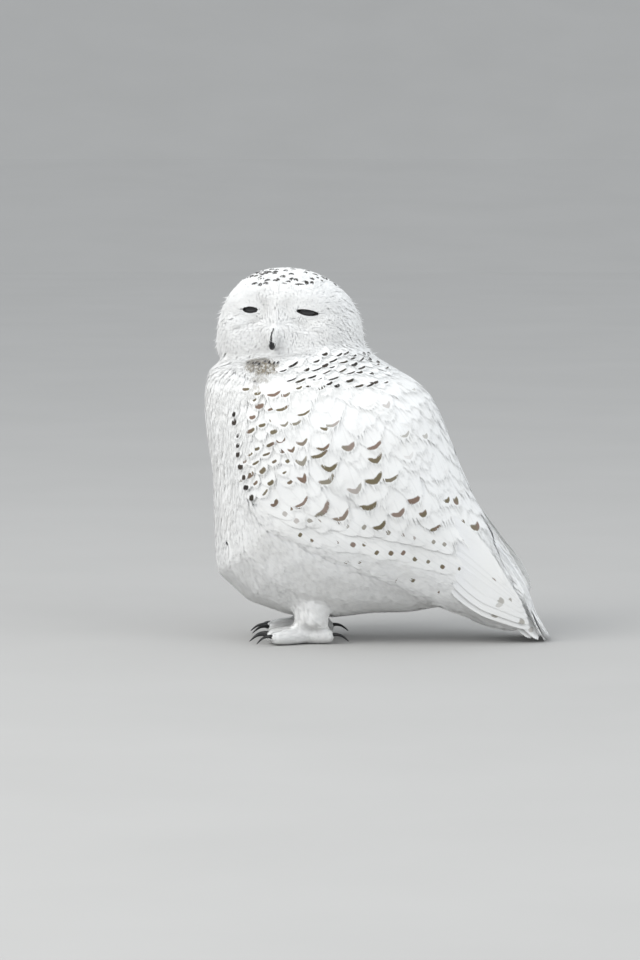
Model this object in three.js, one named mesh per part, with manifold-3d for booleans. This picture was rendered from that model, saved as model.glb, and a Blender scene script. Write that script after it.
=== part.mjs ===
// A snowy owl standing on level ground, its head turned over its left shoulder.
// Millimetres, +Z up. The breast faces -Y and the bird's left side is +X. The floor is z = 0.
import * as THREE from 'three';
import { mergeVertices } from 'three/addons/utils/BufferGeometryUtils.js';
import Module from 'manifold-3d';

const wasm = await Module();
wasm.setup();

// ---- Driving dimensions ----

const GAP = 0.35; // between two parts that touch
const BLOCK = { floor: 900, deep: 100, collar: 600, wing: 220 }; // sizes of the cutting blocks

// The body from the neck to the wing tips: the spine's place on the mid-plane, and how far
// the plumage stands off it towards the back, the belly and each side.
const BODY = [
  { part: 'nape', y: -2, z: 346, back: 90, belly: 89, side: 80 },
  { part: 'shoulder', y: 4, z: 318, back: 91, belly: 112, side: 98 },
  { part: 'breast', y: 30, z: 262, back: 109, belly: 140, side: 116 },
  { part: 'middle', y: 72, z: 206, back: 124, belly: 205, side: 119 },
  { part: 'loin', y: 120, z: 158, back: 103, belly: 175, side: 109 },
  { part: 'rump', y: 172, z: 116, back: 68, belly: 104, side: 87 },
  { part: 'tail coverts', y: 225, z: 78, back: 41, belly: 62, side: 68 },
  { part: 'wing tips', y: 268, z: 42, back: 21, belly: 41, side: 54 },
  { part: 'end', y: 300, z: 10, back: 5, belly: 12, side: 42 },
];
const TRUNK_END = 6.3; // where the trunk rounds off, counted in the stations above
const FULLNESS = 2.25; // of a section: 2 is an ellipse, more is squarer
const COLLAR = { height: 308, lean: 10 }; // where the neck feathers meet the shoulders

const HEAD = { centre: 350, turn: 74, roll: 1.7, lean: 6, fullness: 2.2 };
const SKULL = { side: 88, front: 77, back: 83, up: 90, down: 45 };
const FACE = { flat: 64, softness: 7, fade: 30 };
const FACE_FORMS = { eyeSink: 8, browRise: 3.5, billRise: 6, rimRise: 2.5 };
const EYE = { apart: 32, height: 42, forward: 39.5, radius: 16 };
const BILL = { root: 30, reach: 78, top: 27, wide: 9, deep: 11 };

const WING = { over: 4, under: 9, inner: 11 };
const LEFT_TIP = { y: 279, z: 20, heel: 71 }; // the left wing hangs lower than the right one
const RIGHT_TIP = { y: 285, z: 57, heel: 140 };
const TAIL = { wide: 43, tipWide: 48, thick: 8, tipThick: 4 };
const TAIL_LINE = [[192, 162], [242, 104], [276, 52], [304, -9]];

const LEG = { apart: 47, y: 24, top: 120, hip: 34, ankle: 21 };
const TOE = { long: 52, hind: 34, fat: 12, tip: 9.5, height: 10 };
const TOES = { inner: -16, middle: 6, outer: 30, hind: 172 }; // degrees outwards from forwards
const CLAW = { long: 26, thick: 3.6, arch: 3, end: 2.2 };

const FEATHER = { color: 0xf0f1f0, roughness: 0.9, metalness: 0 };
const HORN = { color: 0x17171a, roughness: 0.35, metalness: 0 };
const EYEBALL = { color: 0x0b0a0a, roughness: 0.1, metalness: 0 };

// ---- Shaping tools ----

const LEFT = new THREE.Vector3(1, 0, 0);
const RIGHT = new THREE.Vector3(-1, 0, 0);
const radians = THREE.MathUtils.degToRad;
const { lerp } = THREE.MathUtils;
const hill = (x, width) => Math.exp(-((x / width) ** 2));
const signedPower = (x, power) => Math.sign(x) * Math.abs(x) ** power;
const curve = (points) => new THREE.CatmullRomCurve3(points.map((p) => new THREE.Vector3(...p)));

// A closed form round a path, rounded off over the stated share of the path at either end.
// Seen along the path, reach gives its size to the side, above and below.
function loft(path, sideAxis, reach, { along, around, ends, power = 2 }) {
  const geometry = new THREE.SphereGeometry(1, around, along);
  const place = geometry.getAttribute('position');
  const uv = geometry.getAttribute('uv');
  for (let i = 0; i < place.count; i++) {
    const t = (1 - Math.cos(Math.PI * (1 - uv.getY(i)))) / 2; // steps lie closer at the ends
    const start = Math.min(1, t / ends[0]);
    const end = Math.min(1, (1 - t) / ends[1]);
    const closing = Math.sqrt((1 - (1 - start) ** 2) * (1 - (1 - end) ** 2));
    const angle = uv.getX(i) * 2 * Math.PI;
    const { side, above, below } = reach(t);
    const height = Math.sin(angle) > 0 ? above : below;
    const upAxis = sideAxis.clone().cross(path.getTangent(t)).normalize();
    const point = path.getPoint(t);
    point.addScaledVector(sideAxis, closing * side * signedPower(Math.cos(angle), 2 / power));
    point.addScaledVector(upAxis, closing * height * signedPower(Math.sin(angle), 2 / power));
    place.setXYZ(i, point.x, point.y, point.z);
  }
  return geometry;
}

// A closed geometry as a solid, whichever way round its faces were made.
function solid(geometry) {
  const bare = geometry.index ? geometry.clone() : mergeVertices(geometry);
  bare.deleteAttribute('normal');
  bare.deleteAttribute('uv');
  const { attributes, index } = mergeVertices(bare, 1e-3);
  const vertProperties = attributes.position.array;
  const make = (triVerts) => new wasm.Manifold(new wasm.Mesh({ numProp: 3, vertProperties, triVerts }));
  const made = make(new Uint32Array(index.array));
  return made.volume() > 0 ? made : make(new Uint32Array(index.array).reverse());
}

function meshOf(name, made, material) {
  const { numVert, numProp, vertProperties, triVerts } = made.getMesh();
  const places = new Float32Array(numVert * 3);
  for (let i = 0; i < numVert; i++) {
    places.set(vertProperties.subarray(i * numProp, i * numProp + 3), i * 3);
  }
  const geometry = new THREE.BufferGeometry();
  geometry.setAttribute('position', new THREE.BufferAttribute(places, 3));
  geometry.setIndex(new THREE.BufferAttribute(triVerts, 1));
  geometry.computeVertexNormals();
  const mesh = new THREE.Mesh(geometry, new THREE.MeshStandardMaterial(material));
  mesh.name = name;
  return mesh;
}

const cutAll = (made, rooms) => rooms.reduce((rest, room) => rest.subtract(room), made);
const onSide = (geometry, sign) => (sign > 0 ? geometry : geometry.clone().scale(-1, 1, 1));

// ---- Body and tail ----

const spine = curve(BODY.map(({ y, z }) => [0, y, z]));
const plumage = curve(BODY.map(({ back, belly, side }) => [back, belly, side]));

// The whole body's outline down to a station, grown by an offset.
function bodyForm(until, offset, ends) {
  const share = until / (BODY.length - 1);
  const path = {
    getPoint: (t) => spine.getPoint(t * share),
    getTangent: (t) => spine.getTangent(t * share),
  };
  const reach = (t) => {
    const [above, below, side] = plumage.getPoint(t * share).toArray();
    return { above: above + offset, below: below + offset, side: side + offset };
  };
  return loft(path, LEFT, reach, { along: 19, around: 22, ends, power: FULLNESS });
}

const wholeBody = (offset) => solid(bodyForm(BODY.length - 1, offset, [0.018, 0.05]));
const trunkForm = (offset) => solid(bodyForm(TRUNK_END, offset, [0.018, 0.2]));

function tailForm(offset) {
  const path = curve(TAIL_LINE.map(([y, z]) => [0, y, z]));
  const reach = (t) => {
    const thick = lerp(TAIL.thick, TAIL.tipThick, t) + offset;
    return { side: lerp(TAIL.wide, TAIL.tipWide, t) + offset, above: thick, below: thick };
  };
  return loft(path, LEFT, reach, { along: 9, around: 14, ends: [0.2, 0.16], power: 2.6 });
}

// Everything above the slanting plane of the collar, raised by some way.
function aboveCollar(raised) {
  const size = BLOCK.collar;
  const above = new THREE.BoxGeometry(size, size, size).translate(0, 0, size / 2);
  return solid(above.rotateX(radians(COLLAR.lean)).translate(0, 0, COLLAR.height + raised));
}

// ---- Head ----

const headPlace = new THREE.Matrix4()
  .makeTranslation(0, 0, HEAD.centre)
  .multiply(new THREE.Matrix4().makeRotationZ(radians(HEAD.turn)))
  .multiply(new THREE.Matrix4().makeRotationY(radians(HEAD.roll)));
const onHead = (geometry) => solid(geometry.applyMatrix4(headPlace));

// How far forward the face stands at a place, from how far a plain round head would there.
function faceDepth(x, z, round, flat) {
  const over = (round - flat) / FACE.softness;
  const flattened = round - FACE.softness * Math.log(1 + Math.exp(over));
  const beside = Math.abs(x) - EYE.apart;
  const above = z - EYE.height;
  const sink = FACE_FORMS.eyeSink * hill(beside, 17) * hill(above, 14);
  const brow = FACE_FORMS.browRise * hill(beside + 12, 22) * hill(above - 20, 10);
  const bill = FACE_FORMS.billRise * hill(x, 15) * hill(z - 18, 22);
  const rim = FACE_FORMS.rimRise * hill(Math.hypot(beside, above + 10) - 36, 8);
  const centred = hill(Math.max(0, flat - round), FACE.fade);
  return flattened + centred * (brow + bill + rim - sink);
}

// The head on its own axis, its face towards -Y, grown by an offset. Its rings run from the
// back of the head to the face, and lie closer there.
function headForm(offset) {
  const geometry = new THREE.SphereGeometry(1, 28, 19);
  const place = geometry.getAttribute('position');
  const uv = geometry.getAttribute('uv');
  const power = 2 / HEAD.fullness;
  for (let i = 0; i < place.count; i++) {
    const fromFace = Math.PI * uv.getY(i) * lerp(0.55, 1, uv.getY(i));
    const round = uv.getX(i) * 2 * Math.PI;
    const [px, py, pz] = [
      Math.sin(fromFace) * Math.cos(round),
      -Math.cos(fromFace),
      Math.sin(fromFace) * Math.sin(round),
    ];
    const swell = Math.max(1e-9, px * px + py * py) ** ((power - 1) / 2);
    const z = ((pz > 0 ? SKULL.up : SKULL.down) + offset) * signedPower(pz, power);
    const x = (SKULL.side + offset) * px * swell;
    const forward = (SKULL.front + offset) * -py * swell;
    const behind = (SKULL.back + offset) * py * swell;
    const y = forward > 0.1 ? -faceDepth(x, z, forward, FACE.flat + offset) : behind;
    place.setXYZ(i, x - HEAD.lean * (z / SKULL.up) ** 2, y, z);
  }
  return geometry;
}

function eyeForm(sign, offset) {
  const eye = new THREE.SphereGeometry(EYE.radius + offset, 14, 10).rotateX(Math.PI / 2);
  return eye.translate(sign * EYE.apart, -EYE.forward, EYE.height);
}

// The upper bill hooks down over the lower one.
function upperBill(offset) {
  const { root, reach, top, wide, deep } = BILL;
  const path = curve([
    [0, -root, top - deep],
    [0, 18 - reach, top - deep],
    [0, 6 - reach, top - deep - 7],
    [0, 3 - reach, -3],
  ]);
  const size = (t) => {
    const taper = Math.sqrt(1 - 0.92 * t);
    return { side: wide * taper + offset, above: deep * taper + offset, below: 5 * taper + offset };
  };
  return loft(path, RIGHT, size, { along: 10, around: 10, ends: [0.1, 0.06] });
}

function lowerBill(offset) {
  const { root, reach, wide } = BILL;
  const path = curve([
    [0, -root, 8],
    [0, 26 - reach, 8],
    [0, 7 - reach, 3],
  ]);
  const size = (t) => {
    const taper = Math.sqrt(1 - 0.6 * t);
    return { side: wide * 0.75 * taper + offset, above: 4 * taper + offset, below: 4 * taper + offset };
  };
  return loft(path, RIGHT, size, { along: 8, around: 10, ends: [0.12, 0.2] });
}

// ---- Wings ----

// A folded wing seen from its side: the wrist in front, the scapulars above, the tip behind.
function wingOutline(tip) {
  const shape = new THREE.Shape();
  const raised = tip.z - LEFT_TIP.z;
  shape.moveTo(-62, 240);
  shape.bezierCurveTo(-72, 205, -66, 165, -30, 142);
  shape.bezierCurveTo(20, 118, 70, 95, 130, 66 + raised * 0.5);
  shape.bezierCurveTo(175, 44 + raised * 0.8, 215, tip.z, tip.y - 20, tip.z - 7);
  shape.quadraticCurveTo(tip.y, tip.z - 9, tip.y, tip.z + 3);
  shape.lineTo(tip.y - 22, tip.heel);
  shape.lineTo(tip.y - 41, tip.heel + 60);
  shape.lineTo(tip.y - 30, 200);
  shape.lineTo(240, 340);
  shape.lineTo(0, 340);
  shape.bezierCurveTo(-25, 310, -52, 280, -62, 240);
  return shape;
}

// The space of a wing, on its own side of the body, grown by a gap all round.
function wingSpace(sign, gap) {
  const points = wingOutline(sign > 0 ? LEFT_TIP : RIGHT_TIP).getPoints(6);
  const middle = new THREE.Vector2(100, 190);
  const grown = points.map((point) => {
    const outward = point.clone().sub(middle).normalize();
    return point.clone().addScaledVector(outward, gap);
  });
  const depth = BLOCK.wing;
  const prism = new THREE.ExtrudeGeometry(new THREE.Shape(grown), { depth, bevelEnabled: false });
  const upright = new THREE.Matrix4().makeBasis(
    new THREE.Vector3(0, 1, 0),
    new THREE.Vector3(0, 0, 1),
    new THREE.Vector3(1, 0, 0),
  );
  prism.applyMatrix4(upright).translate(WING.inner - gap, 0, 0);
  return solid(onSide(prism, sign));
}

// ---- Legs and feet, for the left side ----

function legForm(offset) {
  const { apart, y, top, hip, ankle } = LEG;
  const path = curve([
    [apart * 0.9, y + 10, top],
    [apart, y + 4, top / 2],
    [apart, y, TOE.height + 5],
  ]);
  const reach = (t) => {
    const size = lerp(hip, ankle, Math.min(1, t * 1.4)) + offset;
    return { side: size, above: size, below: size };
  };
  return loft(path, LEFT, reach, { along: 5, around: 10, ends: [0.25, 0.12] });
}

// A path out along a toe, from one distance to another, at the given heights.
function toePath(spread, from, to, heights) {
  const [across, forward] = [Math.sin(radians(spread)), -Math.cos(radians(spread))];
  const point = (height, i) => {
    const out = lerp(from, to, i / (heights.length - 1));
    return [LEG.apart + across * out, LEG.y - 4 + forward * out, height];
  };
  return curve(heights.map(point));
}

const toeSide = (spread) => RIGHT.clone().applyAxisAngle(new THREE.Vector3(0, 0, 1), radians(spread));
const toeLength = (name) => (name === 'hind' ? TOE.hind : TOE.long);

function toeForm(name, offset) {
  const heights = [TOE.height + 3, TOE.height, TOE.height - 1];
  const path = toePath(TOES[name], -TOE.fat, toeLength(name), heights);
  const reach = (t) => {
    const size = lerp(TOE.fat, TOE.tip, t) + offset;
    return { side: size, above: size, below: size };
  };
  return loft(path, toeSide(TOES[name]), reach, { along: 5, around: 8, ends: [0.2, 0.2] });
}

function clawForm(name, offset) {
  const from = toeLength(name) - 9;
  const { long, thick, arch, end } = CLAW;
  const heights = [TOE.height - 1, TOE.height + arch - 1, TOE.height, end];
  const path = toePath(TOES[name], from, from + long, heights);
  const reach = (t) => {
    const size = thick * (1 - 0.8 * t) + offset;
    return { side: size * 0.85, above: size, below: size };
  };
  return loft(path, toeSide(TOES[name]), reach, { along: 5, around: 5, ends: [0.12, 0.06] });
}

// ---- The parts, each giving way to the ones set into it ----

const model = new THREE.Group();
const add = (name, made, material) => model.add(meshOf(name, made, material));
const sides = [
  { name: 'left', sign: 1 },
  { name: 'right', sign: -1 },
];

const underFloor = new THREE.BoxGeometry(BLOCK.floor, BLOCK.floor, BLOCK.deep);
const floor = solid(underFloor.translate(0, 0, -BLOCK.deep / 2));
const tailRoom = solid(tailForm(GAP));
add('tail', solid(tailForm(0)).subtract(floor), FEATHER);

const eyeRooms = sides.map(({ sign }) => onHead(eyeForm(sign, GAP)));
const billRooms = [onHead(upperBill(GAP)), onHead(lowerBill(GAP))];
const headRoom = onHead(headForm(GAP));
add('head', cutAll(onHead(headForm(0)), [...eyeRooms, ...billRooms]), FEATHER);
for (const { name, sign } of sides) {
  add(`eye_${name}`, onHead(eyeForm(sign, 0)), EYEBALL);
}
add('bill_upper', onHead(upperBill(0)), HORN);
add('bill_lower', onHead(lowerBill(0)).subtract(billRooms[0]), HORN);
add('neck', cutAll(wholeBody(0).intersect(aboveCollar(GAP)), [headRoom, ...billRooms]), FEATHER);

const collar = aboveCollar(0);
const underWings = trunkForm(-WING.under);
for (const { name, sign } of sides) {
  const feathers = wholeBody(WING.over).intersect(wingSpace(sign, 0));
  add(`wing_${name}`, cutAll(feathers, [underWings, tailRoom, collar]), FEATHER);
}

const legRooms = sides.map(({ sign }) => solid(onSide(legForm(GAP), sign)));
const wingRooms = sides.map(({ sign }) => wingSpace(sign, GAP));
const trunk = cutAll(trunkForm(0), wingRooms).add(trunkForm(-WING.under - GAP));
add('trunk', cutAll(trunk, [collar, headRoom, tailRoom, ...legRooms]), FEATHER);

for (const { name, sign } of sides) {
  const toeNames = Object.keys(TOES);
  const joinToes = (offset) => {
    const toes = toeNames.map((toe) => solid(onSide(toeForm(toe, offset), sign)));
    return toes.reduce((joined, toe) => joined.add(toe));
  };
  const clawRooms = toeNames.map((toe) => solid(onSide(clawForm(toe, GAP), sign)));
  add(`leg_${name}`, solid(onSide(legForm(0), sign)).subtract(joinToes(GAP)), FEATHER);
  add(`foot_${name}`, cutAll(joinToes(0), [...clawRooms, floor]), FEATHER);
  for (const toe of toeNames) {
    add(`claw_${name}_${toe}`, solid(onSide(clawForm(toe, 0), sign)), HORN);
  }
}

// The origin goes to the middle of the whole bird's outline on the floor.
const middle = new THREE.Box3().setFromObject(model).getCenter(new THREE.Vector3());
model.position.set(-middle.x, -middle.y, 0);

export default model;
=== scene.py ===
# A snowy owl hunched on the floor, looking over its left shoulder through half-closed eyes.
# Metres, with +Z up. The breast faces -Y, the bird's left side is +X and the floor is z = 0.
import math

import bpy
import numpy as np
from mathutils import Matrix, Vector
from mathutils.bvhtree import BVHTree


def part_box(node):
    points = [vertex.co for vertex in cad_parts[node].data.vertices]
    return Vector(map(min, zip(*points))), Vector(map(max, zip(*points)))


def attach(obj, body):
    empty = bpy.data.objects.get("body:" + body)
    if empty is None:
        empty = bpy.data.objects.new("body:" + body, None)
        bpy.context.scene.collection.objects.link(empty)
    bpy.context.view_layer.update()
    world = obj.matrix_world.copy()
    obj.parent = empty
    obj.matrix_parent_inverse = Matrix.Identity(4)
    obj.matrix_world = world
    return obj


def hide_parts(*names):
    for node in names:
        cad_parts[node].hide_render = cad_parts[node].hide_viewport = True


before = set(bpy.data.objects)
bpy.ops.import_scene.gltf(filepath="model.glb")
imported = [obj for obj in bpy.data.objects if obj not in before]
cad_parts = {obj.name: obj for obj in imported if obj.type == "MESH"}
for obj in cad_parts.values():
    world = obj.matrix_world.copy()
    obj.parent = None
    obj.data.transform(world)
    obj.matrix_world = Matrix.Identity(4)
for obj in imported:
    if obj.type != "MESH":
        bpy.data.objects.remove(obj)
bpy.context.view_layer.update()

mm = 0.001
sides = {"left": 1, "right": -1}


# Small tools

def addObject(name, data):
    piece = bpy.data.objects.new(name, data)
    bpy.context.scene.collection.objects.link(piece)
    return piece


def activate(piece, others=()):
    bpy.ops.object.select_all(action="DESELECT")
    for selected in (piece, *others):
        selected.select_set(True)
    bpy.context.view_layer.objects.active = piece


def applyModifier(piece, kind, **settings):
    activate(piece)
    modifier = piece.modifiers.new(kind.title(), kind)
    for name, value in settings.items():
        setattr(modifier, name, value)
    bpy.ops.object.modifier_apply(modifier=modifier.name)


def editMesh(piece, *steps):
    # each step is an edit mode operator and its settings, used on everything
    activate(piece)
    bpy.ops.object.mode_set(mode="EDIT")
    for operator, settings in steps:
        bpy.ops.mesh.select_all(action="SELECT")
        operator(**settings)
    bpy.ops.object.mode_set(mode="OBJECT")


def joinInto(piece, others):
    activate(piece, others)
    bpy.ops.object.join()


def copyNodes(name, nodes):
    copies = [addObject(f"{name}_{node}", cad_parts[node].data.copy()) for node in nodes]
    joined = copies[0]
    if len(copies) > 1:
        joinInto(joined, copies[1:])
    joined.name = name
    editMesh(joined, (bpy.ops.mesh.remove_doubles, {"threshold": 0.01 * mm}))
    return joined


def vertexArray(piece, field="co"):
    values = np.zeros(len(piece.data.vertices) * 3, np.float32)
    piece.data.vertices.foreach_get(field, values)
    return values.reshape(-1, 3).astype(float)


def setVertices(piece, places):
    piece.data.vertices.foreach_set("co", places.astype(np.float32).ravel())
    piece.data.update()


def setAttribute(piece, name, values):
    attribute = piece.data.attributes.get(name) or piece.data.attributes.new(name, "FLOAT", "POINT")
    attribute.data.foreach_set("value", np.asarray(values, np.float32))


def dress(piece, material, slotName, *replaced):
    piece.data.materials.clear()
    piece.data.materials.append(material)
    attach(piece, "root")
    if replaced:
        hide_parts(*replaced)
    return piece


def unit(vectors):
    lengths = np.linalg.norm(vectors, axis=-1, keepdims=True)
    return vectors / np.maximum(lengths, 1e-9)


def dot(a, b):
    return (a * b).sum(-1, keepdims=True)


def ramp(x, start, end):
    # 0 at start, 1 at end, smooth between them; start may be the larger one
    t = np.clip((x - start) / (end - start), 0, 1)
    return t * t * (3 - 2 * t)


def hill(x, width):
    return np.exp(-((x / width) ** 2))


# The head's own axes, from the places of the eyes. Head coordinates are in millimetres: towards
# its left side, forward out of the face, and up.

eyeInHead = {"apart": 32, "forward": 39.5, "up": 42, "radius": 16}


def middleOf(node):
    low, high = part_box(node)
    return np.array([(a + b) / 2 for a, b in zip(low, high)])


eyeMiddle = {side: middleOf(f"eye_{side}") for side in sides}
headSide = unit(eyeMiddle["left"] - eyeMiddle["right"])
headUp = unit(np.array([0, 0, 1]) - headSide * headSide[2])
headForward = np.cross(headSide, headUp)
headMiddle = (eyeMiddle["left"] + eyeMiddle["right"]) / 2
headMiddle = headMiddle - (headForward * eyeInHead["forward"] + headUp * eyeInHead["up"]) * mm
headAxes = np.array([headSide, headForward, headUp])


def toHead(points):
    return (points - headMiddle) @ headAxes.T / mm


def fromHead(points):
    return np.asarray(points, float) * mm @ headAxes + headMiddle


# Side coordinates, in millimetres: how far behind the head's axis, and how high.

def toSide(points):
    return (points[:, 1] - headMiddle[1]) / mm, points[:, 2] / mm


# Eyelids, in each eye's own axes: a dome round the eyeball, cut open along a slit.

lids = {
    "dome": (24, 18, 17.1),  # sideways, up and forward, in millimetres
    "around": (24, 20),  # how far it shapes the skin, sideways and up
    "swelling": (17.7, 105, 80),  # the soft rise over it, and how it falls off sideways and up
    "thick": 0.9,
    # degrees that each eye looks outwards, and its slit in millimetres
    "left": {"turnedOut": 15, "half": 12.9, "upper": 2.3, "lower": 3.2, "tilt": 7},
    "right": {"turnedOut": 6, "half": 9.9, "upper": 2.5, "lower": 2.8, "tilt": 1},
    "rimWide": 0.9,
}


def eyeAxes(side):
    # sideways along the slit, up, and forward out of the eye
    turn = math.radians(lids[side]["turnedOut"]) * sides[side]
    forward = headForward * math.cos(turn) + headSide * math.sin(turn)
    across = headSide * math.cos(turn) - headForward * math.sin(turn)
    tilt = math.radians(lids[side]["tilt"]) * sides[side]
    slit = across * math.cos(tilt) - headUp * math.sin(tilt)
    up = headUp * math.cos(tilt) + across * math.sin(tilt)
    return np.array([slit, up, forward])


def toEye(points, side):
    return (points - eyeMiddle[side]) @ eyeAxes(side).T / mm


def domeHeight(across, up):
    wide, high, deep = lids["dome"]
    return deep * np.sqrt(np.maximum(0.02, 1 - (across / wide) ** 2 - (up / high) ** 2))


def insideSlit(across, up, side, margin=0.0):
    # above 0 inside the slit, grown by the margin
    shape = lids[side]
    reach = np.where(up > 0, shape["upper"], shape["lower"]) + margin
    return 1 - (across / (shape["half"] + margin)) ** 2 - np.abs(up) / reach


def fitToLids(points, above):
    # brings the surface round each eye onto the lids, or that many millimetres above them
    wide, high = lids["around"]
    top, fallAcross, fallUp = lids["swelling"]
    for side in sides:
        across, up, forward = toEye(points, side).T
        away = (across / wide) ** 2 + (up / high) ** 2
        near = ramp(away, 1.0, 0.35) * (forward > 4)
        swelling = top - across**2 / fallAcross - up**2 / fallUp
        share = ramp(away, 0.05, 0.55)
        shift = domeHeight(across, up) * (1 - share) + swelling * share + above - forward
        raised = ramp(away, 3.4, 1.7) * (forward > 0)
        shift = shift * np.where(shift > 0, raised, near) * mm
        points = points + shift[:, None] * eyeAxes(side)[2]
    return points


eyeFold = {"below": 17, "slope": 0.35, "deep": 2.6, "ridge": 1.3}


def foldUnderEyes(points):
    # the curved crease that runs out and down below each eye
    across, forward, up = toHead(points).T
    for sign in sides.values():
        beside = across * sign - eyeInHead["apart"]
        below = eyeInHead["up"] - up
        line = eyeFold["below"] + eyeFold["slope"] * beside
        share = ramp(forward, 35, 50) * ramp(np.abs(beside - 4), 26, 12)
        ridge = eyeFold["ridge"] * hill(below - line + 5, 4.5)
        depth = share * (ridge - eyeFold["deep"] * hill(below - line, 3.2))
        points = points + (depth * mm)[:, None] * headForward
    return points


# The form that the coat lies on: the flesh nodes as one closed surface, with the valley
# between the folded wings filled.

flesh = ["head", "neck", "trunk", "tail", "wing_left", "wing_right"]
flesh += ["leg_left", "leg_right", "foot_left", "foot_right"]
tailFan = {"count": 12, "long": 128, "wide": 23, "spread": 37, "way": (0.55, -0.84)}
formSizes = {
    "voxel": 3.2 * mm, "closing": 12 * mm, "smoothing": 5, "throat": 45,
    "overLids": 0.9, "overBill": 1.9,  # millimetres above the eyelids and the bill
}


def tailAxes():
    # along the tail to its end, and out of its upper side
    along = unit(np.array([0, *tailFan["way"]]))
    return along, np.array([0, -along[2], along[1]])


def remesh(body):
    applyModifier(body, "REMESH", mode="VOXEL", voxel_size=formSizes["voxel"])


def smoothThroat(body):
    # the head's feathers run down over the neck with no step
    places = vertexArray(body)
    _, _, up = toHead(places).T
    share = ramp(up, -8, -24) * ramp(places[:, 2], 0.262, 0.285)
    throat = body.vertex_groups.new(name="throat")
    for step in range(1, 11):
        picked = np.flatnonzero(np.round(share * 10) == step)
        throat.add(picked.tolist(), step / 10, "REPLACE")
    applyModifier(body, "SMOOTH", factor=0.5, iterations=formSizes["throat"], vertex_group="throat")


def coverBill(points, above):
    # brings a surface out over the bill's upper part, where the bristles hide it
    bill = copyNodes("billCopy", ["bill_upper", "bill_lower"])
    faces = [tuple(face.vertices) for face in bill.data.polygons]
    tree = BVHTree.FromPolygons([Vector(p) for p in vertexArray(bill)], faces)
    bpy.data.objects.remove(bill)
    across, forward, up = toHead(points).T
    for i in np.flatnonzero((np.abs(across) < 16) & (forward > 40) & (up > 0) & (up < 34)):
        place, normal, face, away = tree.find_nearest(Vector(points[i]))
        out = (Vector(points[i]) - place).dot(normal) / mm
        wanted = above * ramp(up[i], 6, 11)
        if away < 6 * mm and out < wanted:
            points[i] += np.array(normal) * (wanted - out) * mm
    return points


def thinTail(points):
    # the tail's end is drawn in to its middle plane, so that only its quills show there
    along, above = tailAxes()
    low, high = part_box("tail")
    end = np.array([0, high[1], low[2]])
    fromEnd = (points - end) @ along / mm
    height = (points - end) @ above / mm
    onTail = (np.abs(points[:, 0]) < high[0] + 1 * mm) & (np.abs(height) < 24) & (fromEnd > -80)
    middle = np.median(height[onTail & (fromEnd > -45)])
    drawn = 0.7 * ramp(fromEnd, -60, -6) * onTail * (points[:, 1] > low[1])
    return points - ((height - middle) * drawn * mm)[:, None] * above


def makeForm():
    core = ["trunk", "wing_left", "wing_right", "neck"]
    body = copyNodes("form", core)
    for shift in (formSizes["closing"], -formSizes["closing"]):
        remesh(body)
        applyModifier(body, "DISPLACE", strength=shift, mid_level=0)
    others = [node for node in flesh if node not in core]
    others += ["eye_left", "eye_right", "bill_upper", "bill_lower"]
    joinInto(body, [copyNodes("rest", others)])
    remesh(body)
    applyModifier(body, "SMOOTH", factor=0.5, iterations=formSizes["smoothing"])
    smoothThroat(body)
    setVertices(body, thinTail(vertexArray(body)))
    face = foldUnderEyes(fitToLids(vertexArray(body), formSizes["overLids"]))
    setVertices(body, coverBill(face, formSizes["overBill"]))
    applyModifier(body, "SMOOTH", factor=0.3, iterations=1)
    return body


form = makeForm()
formPoints = vertexArray(form)
formNormals = vertexArray(form, "normal")
formFaces = [tuple(face.vertices) for face in form.data.polygons]
formTree = BVHTree.FromPolygons([Vector(p) for p in formPoints], formFaces)
print("form", len(formPoints), "vertices")


def ontoForm(points):
    # the nearest places on the form, and its smooth normals there
    shape = points.shape
    flat = points.reshape(-1, 3)
    hits = [formTree.find_nearest(Vector(p)) for p in flat]
    places = np.array([hit[0] for hit in hits])
    corners = np.array([formFaces[hit[2]] for hit in hits])
    spread = np.linalg.norm(formPoints[corners] - places[:, None], axis=-1)
    weights = 1 / (spread + 0.2 * mm)
    normals = unit((formNormals[corners] * weights[..., None]).sum(1))
    return places.reshape(shape), normals.reshape(shape)


def dropOnto(behind, height, sign):
    # places on the form's left or right side, from side coordinates
    hits = []
    for b, h in zip(behind, height):
        start = Vector((0.3 * sign, b * mm + headMiddle[1], h * mm))
        place = formTree.ray_cast(start, Vector((-sign, 0, 0)))[0]
        if place is None:  # it passes by, so the nearest place is taken
            place = formTree.find_nearest(start - Vector((0.2 * sign, 0, 0)))[0]
        hits.append(place)
    return np.array(hits)


def riseOver(spot, outwards, reach=0.08):
    # how far the form stands out beyond the spot, seen from well outside it
    hit = formTree.ray_cast(Vector(spot + outwards * reach), Vector(-outwards))[0]
    return (np.array(hit) - spot) @ outwards if hit is not None else 0.0


# Which way the feathers lie

def onHead(points):
    # 1 on the head, falling to 0 down the neck
    _, _, up = toHead(points).T
    return ramp(up, -42, -14) * ramp(points[:, 2], 0.27, 0.31)


def rowsOf(*columns):
    # one row a point, from numbers and arrays
    return np.stack(np.broadcast_arrays(*columns), -1).astype(float)


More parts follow.
